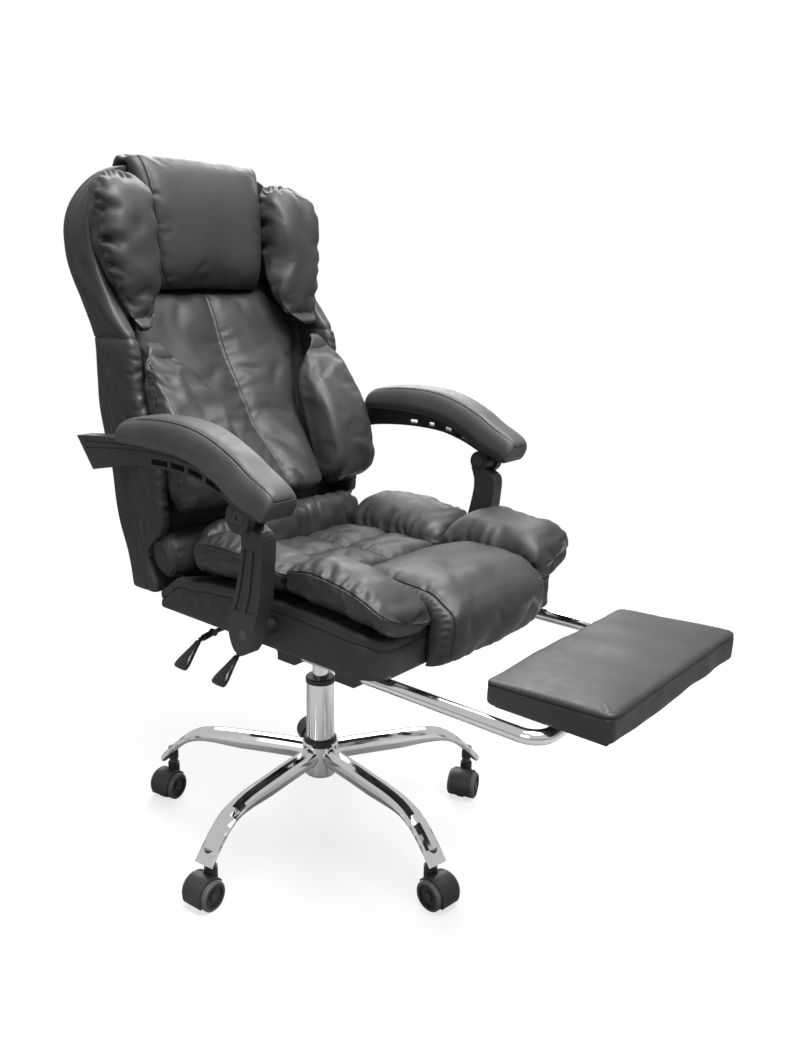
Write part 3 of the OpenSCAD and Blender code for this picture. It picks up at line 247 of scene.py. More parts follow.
def stuffed(stations, square, end_square, step=2.6, angles=()):
    """Stuffed lobe. A station is a centre and two half-extent vectors, and angles are seams along it."""
    q = np.linspace(0.0004, 0.9996, 1500)
    st = curve_at(stations, q)
    swell = dome(2 * q - 1, end_square)
    top = st[:, 0] + st[:, 2] * swell[:, None]
    arc = lengths(top)
    v = spread(arc[-1], step, [])
    t = np.interp(v, arc, q)
    st = curve_at(stations, t)
    swell = dome(2 * t - 1, end_square)
    mid = curve_at(stations, [0.5])[0]
    a_dense = np.linspace(0, 2 * math.pi, 3001)
    ca, sa = signed_power(np.cos(a_dense), 2 / square), signed_power(np.sin(a_dense), 2 / square)
    ring = lengths(np.linalg.norm(mid[1]) * ca[:, None] * [1, 0] + np.linalg.norm(mid[2]) * sa[:, None] * [0, 1])
    fine_u = [np.interp(math.radians(a % 360), a_dense, ring) for a in angles]
    u = spread(ring[-1], step, fine_u)[:-1]
    a = np.interp(u, ring, a_dense)
    ca, sa = signed_power(np.cos(a), 2 / square), signed_power(np.sin(a), 2 / square)
    P = st[:, None, 0] + swell[:, None, None] * (st[:, None, 1] * ca[None, :, None]
                                                 + st[:, None, 2] * sa[None, :, None])
    skin = Skin(P, u, v - arc[-1] / 2, np.ones((len(v), len(u))))
    skin.ring_l, skin.half_v, skin.line_u = ring[-1], arc[-1] / 2, fine_u
    return skin


# ---------------------------------------------------------------- relief: seams, gathers, folds, slack

SHALLOWEST = 0.12  # a pucker under this depth isn't made
SLACK_WAVES = 9
EDGE_SQUARE = 7.0  # how square the edge seam's loop is on most panels


def seam_profile(d, valley=1.6, valley_w=6.0, crease=1.1, welt=0.5):
    """Height across a sewn seam at a distance from it: a soft valley, a thin crease and a welt each side."""
    return (-valley * np.exp(-(d / valley_w) ** 2) - 1.5 * crease * np.exp(-(d / 1.1) ** 2)
            + 1.3 * welt * np.exp(-((np.abs(d) - 2.4) / 1.6) ** 2)
            - 0.55 * np.exp(-((np.abs(d) - 3.1) / 0.8) ** 2))


def loop_distance(u, v, edge, square=EDGE_SQUARE):
    """Distance outward from the seam that runs round a panel's face."""
    a, b = np.abs(u / edge[0]) ** square, np.abs(v / edge[1]) ** square
    total = np.maximum(a + b, 1e-6)
    scale = np.where(a + b > 1e-6, (a * edge[0] + b * edge[1]) / total, min(edge))
    return (total ** (1 / square) - 1) * scale


def edge_distance(skin, square=EDGE_SQUARE):
    """Distance outward from a panel's edge seam, over its whole sheet."""
    return loop_distance(skin.U - skin.edge_u, skin.V, skin.edge, square)


def open_inward(skin, outer=0.80, inner=1.18):
    """Moves the seam loop so that its inner side runs under the neighbouring cushion."""
    skin.edge_u = (outer - inner) / 2 * skin.half_u
    skin.edge = ((outer + inner) / 2 * skin.half_u, skin.edge[1])


def pin_near(distance, width):
    """Pins the cloth near a seam, from a function that gives the distance to it on the sheet."""
    return lambda u, v: np.exp(-(distance(u, v) / width) ** 2)


def held(skin):
    """Pins the cloth along a panel's edge seam."""
    return pin_near(lambda u, v: loop_distance(u - skin.edge_u, v, skin.edge), 5)


def edge_loop(skin, square=EDGE_SQUARE, count=400):
    """Places along a panel's edge seam on its sheet."""
    a = np.linspace(0, 2 * math.pi, count, endpoint=False)
    eu, ev = skin.edge
    return np.stack([skin.edge_u + eu * signed_power(np.cos(a), 2 / square),
                     ev * signed_power(np.sin(a), 2 / square)], 1)


def sew_loop(parts, skin, square=EDGE_SQUARE, gap=3.0):
    """Stitches beside the edge seam, without its corners and the part that runs under a neighbour."""
    loop = edge_loop(skin, square, 900)
    u, v = (loop[:, 0] - skin.edge_u) / skin.edge[0], loop[:, 1] / skin.edge[1]
    good = (np.abs(loop[:, 0]) < 0.96 * skin.half_u) & ~((np.abs(u) > 0.94) & (np.abs(v) > 0.94))
    change = np.flatnonzero(good != np.roll(good, 1))
    if len(change) == 0:
        sew(parts, skin, loop[:, 0], loop[:, 1], gap, closed=True)
        return
    for k, start in enumerate(change):
        if good[start]:
            stop = change[(k + 1) % len(change)]
            index = np.arange(start, stop if stop > start else stop + len(loop)) % len(loop)
            if len(index) > 8:
                sew(parts, skin, loop[index, 0], loop[index, 1], gap)


def crease(skin, start, end, depth, width, fade=1.0, wrap=None):
    """Sharp fold from start to end: deepest near the start for fade over 0, in the middle for fade 0."""
    start, end = np.asarray(start, float), np.asarray(end, float)
    run = end - start
    size = max(np.linalg.norm(run), 1e-6)
    run = run / size
    x, y = skin.U - start[0], skin.V - start[1]
    if wrap:
        x = (x + wrap / 2) % wrap - wrap / 2
    f = (x * run[0] + y * run[1]) / size
    d = -x * run[1] + y * run[0]
    d = d + size * 0.06 * np.sin(f * 5.0)
    inside = np.clip(f, 0, 1)
    strength = (smooth(inside / 0.18) * (1 - inside) ** 1.3) if fade > 0 else np.sin(math.pi * inside) ** 1.2
    strength = np.where((f < 0) | (f > 1), 0, strength)
    w = width * (1 + 0.9 * inside)
    skin.lift += depth * strength * (-np.exp(-(d / w) ** 2)
                                     + 0.4 * np.exp(-((np.abs(d) - 2.1 * w) / (1.3 * w)) ** 2))


def gathers(skin, rng, spacing, depth, width, reach, where=None, square=EDGE_SQUARE):
    """Short puckers that run inward from the edge seam, or outward for a negative reach."""
    loop = edge_loop(skin, square)
    walk = lengths(np.vstack([loop, loop[:1]]))
    for place in paces(rng, rng.uniform(0, spacing), walk[-1], 0.55 * spacing, 1.45 * spacing):
        k = int(np.searchsorted(walk, place) - 1) % len(loop)
        p, ahead = loop[k], loop[(k + 1) % len(loop)] - loop[k - 1]
        inward = unit(np.array([-ahead[1], ahead[0]]))
        if np.dot(inward, p - np.array([skin.edge_u, 0])) > 0:
            inward = -inward
        tilt = rng.uniform(-0.45, 0.45)
        way = np.array([inward[0] * math.cos(tilt) - inward[1] * math.sin(tilt),
                        inward[0] * math.sin(tilt) + inward[1] * math.cos(tilt)])
        size = rng.uniform(*reach)
        weight = 1.0 if where is None else where(*p)
        deep = rng.uniform(*depth) * weight
        if deep > SHALLOWEST:
            crease(skin, p - math.copysign(3, size) * way, p + size * (0.5 + 0.5 * min(weight, 1)) * way, deep,
                   rng.uniform(*width))


def line_gathers(skin, rng, u0, spacing, depth, reach, sides=(-1, 1), wrap=None, width=(1.8, 3.2)):
    """Short puckers on one or both sides of a seam that runs along v at u0."""
    for side in sides:
        start = -skin.half_v + rng.uniform(0, spacing)
        for place in paces(rng, start, skin.half_v, 0.55 * spacing, 1.45 * spacing):
            size, tilt, deep = rng.uniform(*reach), rng.uniform(-0.5, 0.5), rng.uniform(*depth)
            if deep > SHALLOWEST:
                crease(skin, (u0, place), (u0 + side * size, place + size * tilt), deep, rng.uniform(*width),
                       wrap=wrap)


def slack(skin, rng, height, wave):
    """Soft unevenness of the stuffing."""
    total = np.zeros(skin.U.shape)
    for _ in range(SLACK_WAVES):
        a, size = rng.uniform(0, 2 * math.pi), wave * rng.uniform(0.6, 1.6)
        k = 2 * math.pi / size
        total += np.sin(k * (skin.U * math.cos(a) + skin.V * math.sin(a)) + rng.uniform(0, 6.28))
    skin.lift += height * total / math.sqrt(SLACK_WAVES)


def ripples(rng, across, up, count, shortest, longest):
    """Sum of waves over a cover whose places aren't those of a flat sheet."""
    total = np.zeros(across.shape)
    for _ in range(count):
        k, a = 2 * math.pi / rng.uniform(shortest, longest), rng.uniform(0, 6.28)
        total += np.sin(k * (across * math.cos(a) + up * math.sin(a)) + rng.uniform(0, 6.28))
    return total


def bulge(skin, u, v, height, wide, tall):
    """Soft mound, or hollow for a height under 0."""
    skin.lift += height * np.exp(-((skin.U - u) / wide) ** 2 - ((skin.V - v) / tall) ** 2)


# ---------------------------------------------------------------- threads, tubes and meshes

STITCH_PITCH = 5.2
STITCH_L = 3.8
STITCH_R = 0.52
PIPE_SIDES = 8


class Parts:
    """Collects islands of one piece: points, faces and the index of their material."""

    def __init__(self, skin=None):
        self.points, self.faces, self.slots, self.count = [], [], [], 0
        if skin is not None:
            self.add_skin(skin)

    def add(self, points, faces, slot=0):
        """Adds an island, whose faces count from its own first point."""
        points = np.asarray(points, float).reshape(-1, 3)
        self.points.append(points)
        self.faces += [tuple(int(i) + self.count for i in f) for f in faces]
        self.slots += [slot] * len(faces)
        self.count += len(points)

    def add_skin(self, skin):
        """The rings of a skin, capped by fans, or across by quads where the skin says its fold."""
        rows, n = skin.P.shape[:2]
        faces = [(i * n + j, i * n + (j + 1) % n, (i + 1) * n + (j + 1) % n, (i + 1) * n + j)
                 for i in range(rows - 1) for j in range(n)]
        first, end = rows * n, (rows - 1) * n
        points = np.vstack([skin.P.reshape(-1, 3), skin.P[0].mean(0), skin.P[-1].mean(0)])
        faces += [(first, (j + 1) % n, j) for j in range(n)]
        if skin.fold is None:
            faces += [(first + 1, end + j, end + (j + 1) % n) for j in range(n)]
        else:
            points = points[:-1]
            pairs = [(j % n, (j + 1) % n, (skin.fold - j - 1) % n, (skin.fold - j) % n)
                     for j in range((skin.fold - n) // 2, skin.fold // 2)]
            faces += [tuple(end + k for k in dict.fromkeys(quad)) for quad in pairs if len(set(quad)) > 2]
        self.add(points, faces)

    def add_threads(self, points, normals, closed=False):
        """Row of stitches along a line on a skin, each a slim pointed body sunk into the cover."""
        if closed:
            points, normals = np.vstack([points, points[:1]]), np.vstack([normals, normals[:1]])
        along = lengths(points)
        if along[-1] < 2 * STITCH_PITCH:
            return

        def at(values, place):
            return np.array([np.interp(place, along, values[:, k]) for k in range(3)])

        for place in np.arange(STITCH_PITCH / 2, along[-1] - STITCH_PITCH / 2, STITCH_PITCH):
            first, last = at(points, place - STITCH_L / 2), at(points, place + STITCH_L / 2)
            n, middle = unit(at(normals, place)), (first + last) / 2
            side = unit(np.cross(n, last - first)) * STITCH_R
            self.add([first - 0.25 * n, last - 0.25 * n, middle + side + 0.1 * n, middle - side + 0.1 * n,
                      middle + 0.62 * n, middle - 0.5 * n],
                     [(0, 2, 4), (2, 1, 4), (1, 3, 4), (3, 0, 4), (2, 0, 5), (1, 2, 5), (3, 1, 5), (0, 3, 5)], 1)

    def add_piping(self, path, radius):
        """Closed tube round a path."""
        ahead = unit(np.roll(path, -1, 0) - np.roll(path, 1, 0))
        out = path - path.mean(0)
        out = unit(out - ahead * np.sum(out * ahead, axis=1, keepdims=True))
        other = np.cross(ahead, out)
        sides = PIPE_SIDES
        a = np.arange(sides) * 2 * math.pi / sides
        rings = (path[:, None] + radius * (out[:, None] * np.cos(a)[None, :, None]
                                           + other[:, None] * np.sin(a)[None, :, None]))
        m = len(path)
        self.add(rings, [(i * sides + j, i * sides + (j + 1) % sides, (i + 1) % m * sides + (j + 1) % sides,
                          (i + 1) % m * sides + j) for i in range(m) for j in range(sides)])

    def mesh(self, name, materials, mirror=False, shade=True):
        """Object of all the islands, in metres."""
        points = np.vstack(self.points) * MM
        if mirror:
            points[:, 0] *= -1
        data = bpy.data.meshes.new(name)
        data.from_pydata(points.tolist(), [], self.faces)
        for m in materials:
            data.materials.append(m)
        data.polygons.foreach_set("material_index", self.slots)
        bm = bmesh.new()
        bm.from_mesh(data)
        bmesh.ops.recalc_face_normals(bm, faces=bm.faces)
        bm.to_mesh(data)
        bm.free()
        if shade:
            data.polygons.foreach_set("use_smooth", [True] * len(data.polygons))
        obj = bpy.data.objects.new(name, data)
        bpy.context.scene.collection.objects.link(obj)
        return obj


def sew(parts, skin, u, v, gap, closed=False):
    """Stitches on both sides of a seam given in sheet coordinates."""
    path = np.stack([u, v], 1)
    ahead = unit(np.roll(path, -1, 0) - np.roll(path, 1, 0) if closed else np.gradient(path, axis=0))
    beside = np.stack([-ahead[:, 1], ahead[:, 0]], 1)
    for sign in (-1, 1):
        p = path + sign * gap * beside
        parts.add_threads(*skin.at(p[:, 0], p[:, 1]), closed=closed)


def declare(obj, body, fill, *nodes):
    """Says what a soft piece rides on and stands for; fill, for what it is made of, is not used."""
    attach(obj, body)
    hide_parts(*nodes)


def finish_soft(parts, name, body, *nodes, fill=0.75, side=1, cover=None):
    """Makes a padded piece from its parts. They are built at +X, and side -1 mirrors them."""
    declare(parts.mesh(name, [cover or LEATHER, THREAD], side < 0), body, fill, *nodes)


# ---------------------------------------------------------------- cloth

CLOTH_FRAMES = 12
CLOTH_PITCH = 5.0
CLOTH_STIFFNESS = 6.0


def as_cloth(obj, pressure, growth):
    """Makes cloth of a mesh with pressure inside it, held by its vertex group."""
    mod = obj.modifiers.new("Cloth", "CLOTH")
    c = mod.settings
    c.quality = 5
    c.mass = 0.25
    c.tension_stiffness = c.compression_stiffness = CLOTH_STIFFNESS
    c.shear_stiffness = CLOTH_STIFFNESS / 2
    c.bending_stiffness = 0.12
    c.air_damping = 2.0
    c.use_pressure = True
    c.uniform_pressure_force = pressure
    c.shrink_min = c.shrink_max = -growth
    c.vertex_group_mass = "hold"
    c.effector_weights.gravity = 0
    mod.point_cache.frame_start, mod.point_cache.frame_end = 1, CLOTH_FRAMES


def settle(skin, pressure, growth, cap, pinned=None):
    """Lets the cover puff and wrinkle as cloth between its pinned seams, and adds the capped movement."""
    places = np.searchsorted(skin.v, np.arange(skin.v[0], skin.v[-1], CLOTH_PITCH))
    rows = np.unique(np.append(places, len(skin.v) - 1))
    middle, cols = skin.P[len(skin.v) // 2], [0]
    for j in range(1, len(skin.u)):
        if np.linalg.norm(middle[j] - middle[cols[-1]]) > CLOTH_PITCH * 0.85:
            cols.append(j)
    cols = np.array(cols)
    coarse = skin.P[np.ix_(rows, cols)]
    small = Skin(coarse, skin.u[cols], skin.v[rows], skin.face[np.ix_(rows, cols)])
    obj = Parts(small).mesh("settling", [], shade=False)
    weights = 1 - small.face
    if pinned is not None:
        weights = np.maximum(weights, pinned(small.U, small.V))
    weights[0] = weights[-1] = 1
    flat = weights.reshape(-1)
    hold = obj.vertex_groups.new(name="hold")
    for k in np.flatnonzero(flat > 0.02):
        hold.add([int(k)], float(flat[k]), "REPLACE")
    hold.add([len(flat), len(flat) + 1], 1.0, "REPLACE")
    as_cloth(obj, pressure, growth)
    scene = bpy.context.scene
    for f in range(1, CLOTH_FRAMES + 1):
        scene.frame_set(f)
    done = obj.evaluated_get(bpy.context.evaluated_depsgraph_get()).to_mesh()
    after = np.empty(len(done.vertices) * 3)
    done.vertices.foreach_get("co", after)
    after = after.reshape(-1, 3)[:len(flat)].reshape(coarse.shape) / MM
    bpy.data.objects.remove(obj)
    scene.frame_set(1)
    move = np.nan_to_num(after - coarse)
    size = np.linalg.norm(move, axis=2, keepdims=True)
    move = move * np.where(size > 1e-6, cap * np.tanh(size / cap) / np.maximum(size, 1e-6), 0)
    move[1:-1] = (move[1:-1] * 2 + move[:-2] + move[2:]) / 4
    move = (move * 2 + np.roll(move, 1, 1) + np.roll(move, -1, 1)) / 4
    y = np.interp(np.arange(len(skin.v)), rows, np.arange(len(rows)))
    x = np.interp(np.arange(len(skin.u)), np.append(cols, len(skin.u)), np.arange(len(cols) + 1))
    j, i = np.minimum(y.astype(int), len(rows) - 2), x.astype(int) % len(cols)
    fy, fx = smooth(y - j)[:, None, None], smooth(x - np.floor(x))[None, :, None]
    low, high = [move[np.ix_(r, i)] * (1 - fx) + move[np.ix_(r, (i + 1) % len(cols))] * fx for r in (j, j + 1)]
    skin.P = skin.P + low * (1 - fy) + high * fy


# ---------------------------------------------------------------- materials

class Look:
    """One material's node tree, with short calls for the nodes that are used here."""

    def __init__(self, name, colour, roughness, metallic=0.0, **constants):
        self.material = bpy.data.materials.new(name)
        self.material.use_nodes = True
        self.tree = self.material.node_tree
        self.shader = self.tree.nodes["Principled BSDF"]
        self.shader.inputs["Base Color"].default_value = (*colour, 1)
        self.shader.inputs["Roughness"].default_value = roughness
        self.shader.inputs["Metallic"].default_value = metallic
        for key, value in constants.items():
            self.shader.inputs[key.replace("_", " ")].default_value = value
        self.colour = colour
        self.place = self.tree.nodes.new("ShaderNodeTexCoord").outputs["Object"]

    def node(self, kind, **values):
        """New node with its settings and the constants of its inputs."""
        made = self.tree.nodes.new(kind)
        for key, value in values.items():
            if hasattr(made, key):
                setattr(made, key, value)
            else:
                made.inputs[key.replace("_", " ")].default_value = value
        return made

    def link(self, a, b):
        self.tree.links.new(a, b)

    def noise(self, scale, detail=3.0, stretch=None):
        tex = self.node("ShaderNodeTexNoise", Scale=scale, Detail=detail)
        place = self.place
        if stretch is not None:
            mapping = self.node("ShaderNodeMapping")
            mapping.inputs["Scale"].default_value = stretch
            self.link(self.place, mapping.inputs["Vector"])
            place = mapping.outputs["Vector"]
        self.link(place, tex.inputs["Vector"])
        return tex.outputs["Fac"]

    def cells(self, scale, feature="F1"):
        tex = self.node("ShaderNodeTexVoronoi", feature=feature, Scale=scale)
        self.link(self.place, tex.inputs["Vector"])
        return tex.outputs["Distance"]

    def ramp(self, value, low, high):
        """Maps a noise, most of which lies between 0.3 and 0.7, to two limits."""
        made = self.node("ShaderNodeMapRange", From_Min=0.3, From_Max=0.7, To_Min=low, To_Max=high)
        self.link(value, made.inputs["Value"])
        return made.outputs["Result"]

    def tint(self, value, dark, light):
        mix = self.node("ShaderNodeMix", data_type="RGBA")
        self.link(value, mix.inputs["Factor"])
        mix.inputs["A"].default_value = (*[c * dark for c in self.colour], 1)
        mix.inputs["B"].default_value = (*[c * light for c in self.colour], 1)
        self.link(mix.outputs["Result"], self.shader.inputs["Base Color"])

    def rough(self, value, low, high):
        self.link(self.ramp(value, low, high), self.shader.inputs["Roughness"])

    def bump(self, layers, distance):
        """Stacks height layers, each a value and a strength."""
        below = None
        for value, strength in layers:
            made = self.node("ShaderNodeBump", Strength=strength, Distance=distance)
            self.link(value, made.inputs["Height"])
            if below is not None:
                self.link(below, made.inputs["Normal"])
            below = made.outputs["Normal"]
        self.link(below, self.shader.inputs["Normal"])


def surface(name, colour, roughness, metallic=0.0, tint=None, rough=None, relief=(), height=0.0003, **constants):
    """Material with noise in its colour and roughness and stacked relief.

    tint and rough give a noise's scale and detail, then the two ends of its effect. A layer of relief is its
    strength, its texture and that texture's arguments.
    """
    look = Look(name, colour, roughness, metallic, **constants)
    if tint:
        look.tint(look.ramp(look.noise(*tint[:2]), 0, 1), *tint[2:])
    if rough:
        look.rough(look.noise(*rough[:2], *rough[4:]), *rough[2:4])
    textures = {"noise": look.noise, "cells": look.cells}
    look.bump([(textures[kind](*at), strength) for strength, kind, *at in relief], height)
    return look.material


def leather(name, colour):
    """Grained leather with soft specks in its colour."""
    return surface(name, colour, 0.46, tint=(9, 4, 0.85, 1.25), rough=(60, 4, 0.42, 0.54), height=0.0004,
                   relief=[(0.25, "cells", 620, "SMOOTH_F1"), (0.18, "noise", 900, 2), (0.12, "noise", 110, 3)],
                   Specular_IOR_Level=0.36)


LEATHER = leather("leather", (0.028, 0.028, 0.030))
# The arm pads' leather is the same leather made lighter: painted light, for the light that falls on their tops.
PAINTED_LIGHT_PAD_LEATHER = leather("pad_leather", (0.062, 0.062, 0.066))
THREAD = surface("thread", (0.012, 0.012, 0.013), 0.6, tint=(40, 2, 0.8, 1.3), relief=[(0.3, "noise", 2500, 1)],
                 height=0.0002)
LOOKS = {
    "leather": LEATHER,
    "chrome": surface("chrome", (0.88, 0.88, 0.89), 0.06, 1.0, rough=(35, 3, 0.04, 0.09),
                      relief=[(0.02, "noise", 55, 2)], height=0.0002),
    "black_plastic": surface("black_plastic", (0.022, 0.022, 0.024), 0.46, tint=(14, 3, 0.85, 1.2),
                             rough=(90, 3, 0.40, 0.52), relief=[(0.22, "noise", 1500, 2), (0.10, "cells", 900)]),
    "tread": surface("tread", (0.085, 0.085, 0.088), 0.6, tint=(30, 4, 0.8, 1.25), rough=(200, 3, 0.52, 0.68),
                     relief=[(0.3, "noise", 900, 3)]),
    "steel": surface("steel", (0.10, 0.10, 0.105), 0.38, 0.8, rough=(60, 4, 0.26, 0.42, (1, 8, 1)),
                     relief=[(0.12, "noise", 420, 2, (1, 14, 1))], height=0.0002),
    "black_steel": surface("black_steel", (0.03, 0.03, 0.032), 0.4, 0.2, rough=(120, 3, 0.33, 0.48),
                           relief=[(0.2, "noise", 700, 3)], height=0.0002),
    "board": surface("board", (0.018, 0.018, 0.019), 0.85, tint=(25, 3, 0.8, 1.3),
                     relief=[(0.4, "cells", 1100), (0.2, "noise", 1600, 2)]),
    "paddle": surface("paddle", (0.014, 0.014, 0.015), 0.16, rough=(80, 3, 0.12, 0.24),
                      relief=[(0.03, "noise", 300, 2)], height=0.0002),
}


def dress_nodes():
    """Gives every CAD node its procedural material by the name of its slot."""
    for node in frame["nodes"].values():
        for place in node.material_slots:
            name = place.material.name.split(".")[0] if place.material else "black_plastic"
            place.material = LOOKS.get(name, LOOKS["black_plastic"])


# ---------------------------------------------------------------- back

SHELL_FRONT = [(-0.078, 0.022), (-0.050, 0.076), (-0.019, 0.182), (0.007, 0.29), (0.069, 0.453), (0.092, 0.589),
               (0.135, 0.682), (0.178, 0.75), (0.195, 0.818), (0.190, 0.872), (0.178, 0.931), (0.166, 0.985)]
SHELL_REAR = [(0.205, 1.0), (0.222, 0.94), (0.231, 0.886), (0.230, 0.832), (0.216, 0.761), (0.171, 0.681),
              (0.121, 0.589), (0.122, 0.445), (0.083, 0.286), (0.065, 0.168), (0.027, 0.06), (0.016, 0.004)]
STRIP = [(0.145, -0.100), (0.222, -0.106), (0.306, -0.103), (0.366, -0.079), (0.438, -0.046), (0.481, -0.0316),
         (0.524, -0.0273), (0.595, -0.0129), (0.638, 0.0244), (0.690, 0.0661), (0.779, 0.1092), (0.855, 0.125),
         (0.9095, 0.1236), (0.9526, 0.135), (0.9784, 0.152)]
STRIP_W = 28.0
STRIP_ROUND = 8.0
BLEND = 16.0  # over this width a side pad's rear draws forward to clear the strip
SHELL_CORNER = 122.0


def back_place(y_share, z_share):
    """Y and Z of a place on the back, from its shares of the back's height."""
    return HINGE[0] + np.asarray(y_share) * BACK_H, BACK_LOW_Z + np.asarray(z_share) * BACK_H


def profile(shares):
    """Heights in rising order, and the Y place at each, of one outline of the back."""
    at = curve_at(shares, np.linspace(0, 1, 120))
    y, z = back_place(at[:, 0], at[:, 1])
    order = np.argsort(z)
    return z[order], y[order]


FRONT_Z, FRONT_Y = profile(SHELL_FRONT)
REAR_Z, REAR_Y = profile(SHELL_REAR)
STRIP_Z, STRIP_Y = profile([(y, z) for z, y in STRIP])


def shell_front(z):
    """Y place of the shell's front at a height."""
    return np.interp(z, FRONT_Z, FRONT_Y)


def shell_rear(z):
    """Y place of the shell's rear at a height."""
    return np.interp(z, REAR_Z, REAR_Y)


def strip_front(z):
    """Y place of the strip's front at a height."""
    return np.interp(z, STRIP_Z, STRIP_Y)


def shell_half(z):
    """Half the shell's width at a height, less in its round top corners."""
    over = np.maximum(z - (BACK_LOW_Z + BACK_H - SHELL_CORNER), 0)
    return BACK_W / 2 - SHELL_CORNER + np.sqrt(np.maximum(SHELL_CORNER ** 2 - over ** 2, 0))


def rounded(distance, radius):
    """How far a rounded edge draws in at a distance from the end."""
    return radius - math.sqrt(max(radius ** 2 - (radius - min(distance, radius)) ** 2, 0))


def board_stations(x, y, z, half, depth):
    """Stations up the back: the middle, half the width and the depth of a piece at each height."""
    zero = np.zeros(len(z))
    return np.stack([np.stack(each, 1) for each in
                     ((x + zero, y, z), (half + zero, zero, zero), (zero, depth, zero))], 1)


SIDE_SEAM = [(480, 154), (545, 158), (584, 168), (670, 178), (765, 217), (872, 210), (950, 243), (1057, 304),
             (1088, 307), (1165, 322)]
CROSS_SEAM_Z = 880.0
REAR_SEAM_X = 170.0
SHELL_ROUND, FOOT_ROUND, TOP_ROUND = 8.0, 5.0, 8.0
BESIDE_SEAM = (-6, -4.6, -3.4, -2.4, -1.5, -0.7, 0, 0.7, 1.5, 2.4, 3.4, 4.6, 6)
FACE_COLUMNS, CORNER_COLUMNS, LOW_COLUMNS, HIGH_COLUMNS = 60, 5, 7, 16
SIDE_COLUMNS = 2 * CORNER_COLUMNS + LOW_COLUMNS + len(BESIDE_SEAM) + HIGH_COLUMNS
SEAM_REACH = 8.0
TOP_ZONE = 30.0  # under the top, where the rings come closer


def shell_ring(height, half):
    """Ring of the shell at a height: its front, one side, its rear and the other side."""
    tuck = max(rounded(height - BACK_LOW_Z, FOOT_ROUND), rounded(BACK_LOW_Z + BACK_H - height, TOP_ROUND))
    y0, y1, x = shell_front(height) + tuck, shell_rear(height) - tuck, half - tuck * 0.6
    r = min(SHELL_ROUND, (y1 - y0) / 4)
    low_y, high_y = y0 + r, y1 - r
    room = high_y - low_y
    seam = np.clip(np.interp(height, *zip(*SIDE_SEAM)), low_y + 0.3 * room, high_y - 0.3 * room)
    reach = min(SEAM_REACH, 0.25 * room)
    side = [*np.linspace(low_y, seam - reach, LOW_COLUMNS), *(seam + np.array(BESIDE_SEAM) * reach / SEAM_REACH),
            *np.linspace(seam + reach, high_y, HIGH_COLUMNS)]
    across, bend = np.linspace(-1, 1, FACE_COLUMNS), np.linspace(8, 82, CORNER_COLUMNS)
    flank = arc_points(x - r, low_y, r, bend - 90) + [(x, y) for y in side] + arc_points(x - r, high_y, r, bend)
    ring = ([(k * (x - r), y0) for k in across] + flank + [(-k * (x - r), y1) for k in across]
            + [(-px, py) for px, py in flank[::-1]])
    return [(px, py, height) for px, py in ring]


def back_shell():
    """Upholstered board: rings from the bottom up, with the side panel's seam and the cross seam."""
    low, high = BACK_LOW_Z, BACK_LOW_Z + BACK_H
    z = spread(BACK_H - TOP_ZONE, 4.0, [CROSS_SEAM_Z - low]) + low
    z = np.concatenate([low + np.array([0, 0.4, 1.6, 3.4]), z[z > low + FOOT_ROUND],
                        high - TOP_ZONE * np.linspace(0.94, 0, 16) ** 2])
    P = np.array([shell_ring(height, half) for height, half in zip(z, shell_half(z))])
    X, Y, Z = P[:, :, 0], P[:, :, 1], P[:, :, 2]
    n_face, n_side = FACE_COLUMNS, SIDE_COLUMNS
    half_ring, seam_column = n_face + n_side, CORNER_COLUMNS + LOW_COLUMNS + BESIDE_SEAM.index(0)
    skin = Skin(P, np.arange(P.shape[1]), z, np.ones(P.shape[:2]))
    on_side, on_rear = np.zeros(P.shape[1]), np.zeros(P.shape[1])
    on_side[n_face:half_ring] = on_side[half_ring + n_face:] = 1
    on_rear[half_ring:half_ring + n_face] = 1
    not_front = np.maximum(on_side, on_rear)
    below_top = smooth((high - Z - 10) / 30)
    skin.lift += seam_profile(Y - Y[:, n_face + seam_column][:, None], 1.0, 5, 1.0, 0.7) * on_side
    skin.lift += seam_profile(Z - CROSS_SEAM_Z, 0.8, 5, 1.0, 0.6) * not_front
    for seam_x in (-REAR_SEAM_X, REAR_SEAM_X):
        skin.lift += seam_profile(X - seam_x, 0.8, 5, 0.5, 0.3) * on_rear * below_top
    skin.lift += 0.16 * ripples(random.Random(31), Z, X + Y, 10, 60, 150) * not_front
    skin.lift += 5.0 * on_rear * (1 - (X / (BACK_W / 2)) ** 2) * below_top * smooth((Z - low) / 60)
    skin.press()
    obj = Parts(skin).mesh("shell_cover", [LEATHER, THREAD])
    cut_slots(obj)
    parts, normals = Parts(), skin.normals()
    keep = (z > low + 6) & (z < high - 60)
    for j in ([n_face + seam_column + d for d in (-4, 4)]
              + [2 * half_ring - 1 - seam_column - d for d in (-4, 4)]):
        parts.add_threads(skin.P[keep, j], normals[keep, j])
    for d in (-3.4, 3.4):
        i = int(np.argmin(np.abs(z - CROSS_SEAM_Z - d)))
        for start, stop in ((n_face, half_ring), (half_ring + n_face, 2 * half_ring), (half_ring, half_ring + n_face)):
            parts.add_threads(skin.P[i, start:stop], normals[i, start:stop])
    threads = parts.mesh("shell_threads", [LEATHER, THREAD])
    both = bmesh.new()
    both.from_mesh(obj.data)
    both.from_mesh(threads.data)
    both.to_mesh(obj.data)
    both.free()
    bpy.data.objects.remove(threads)
    declare(obj, "back", 0.9, "back_shell")


BRACKET_X = 150.0
SLOT_HALF = 4.2
SLOT_EYE = 16.0
SLOT_REACH = 100.0
SLOT_NEAR = 34.0


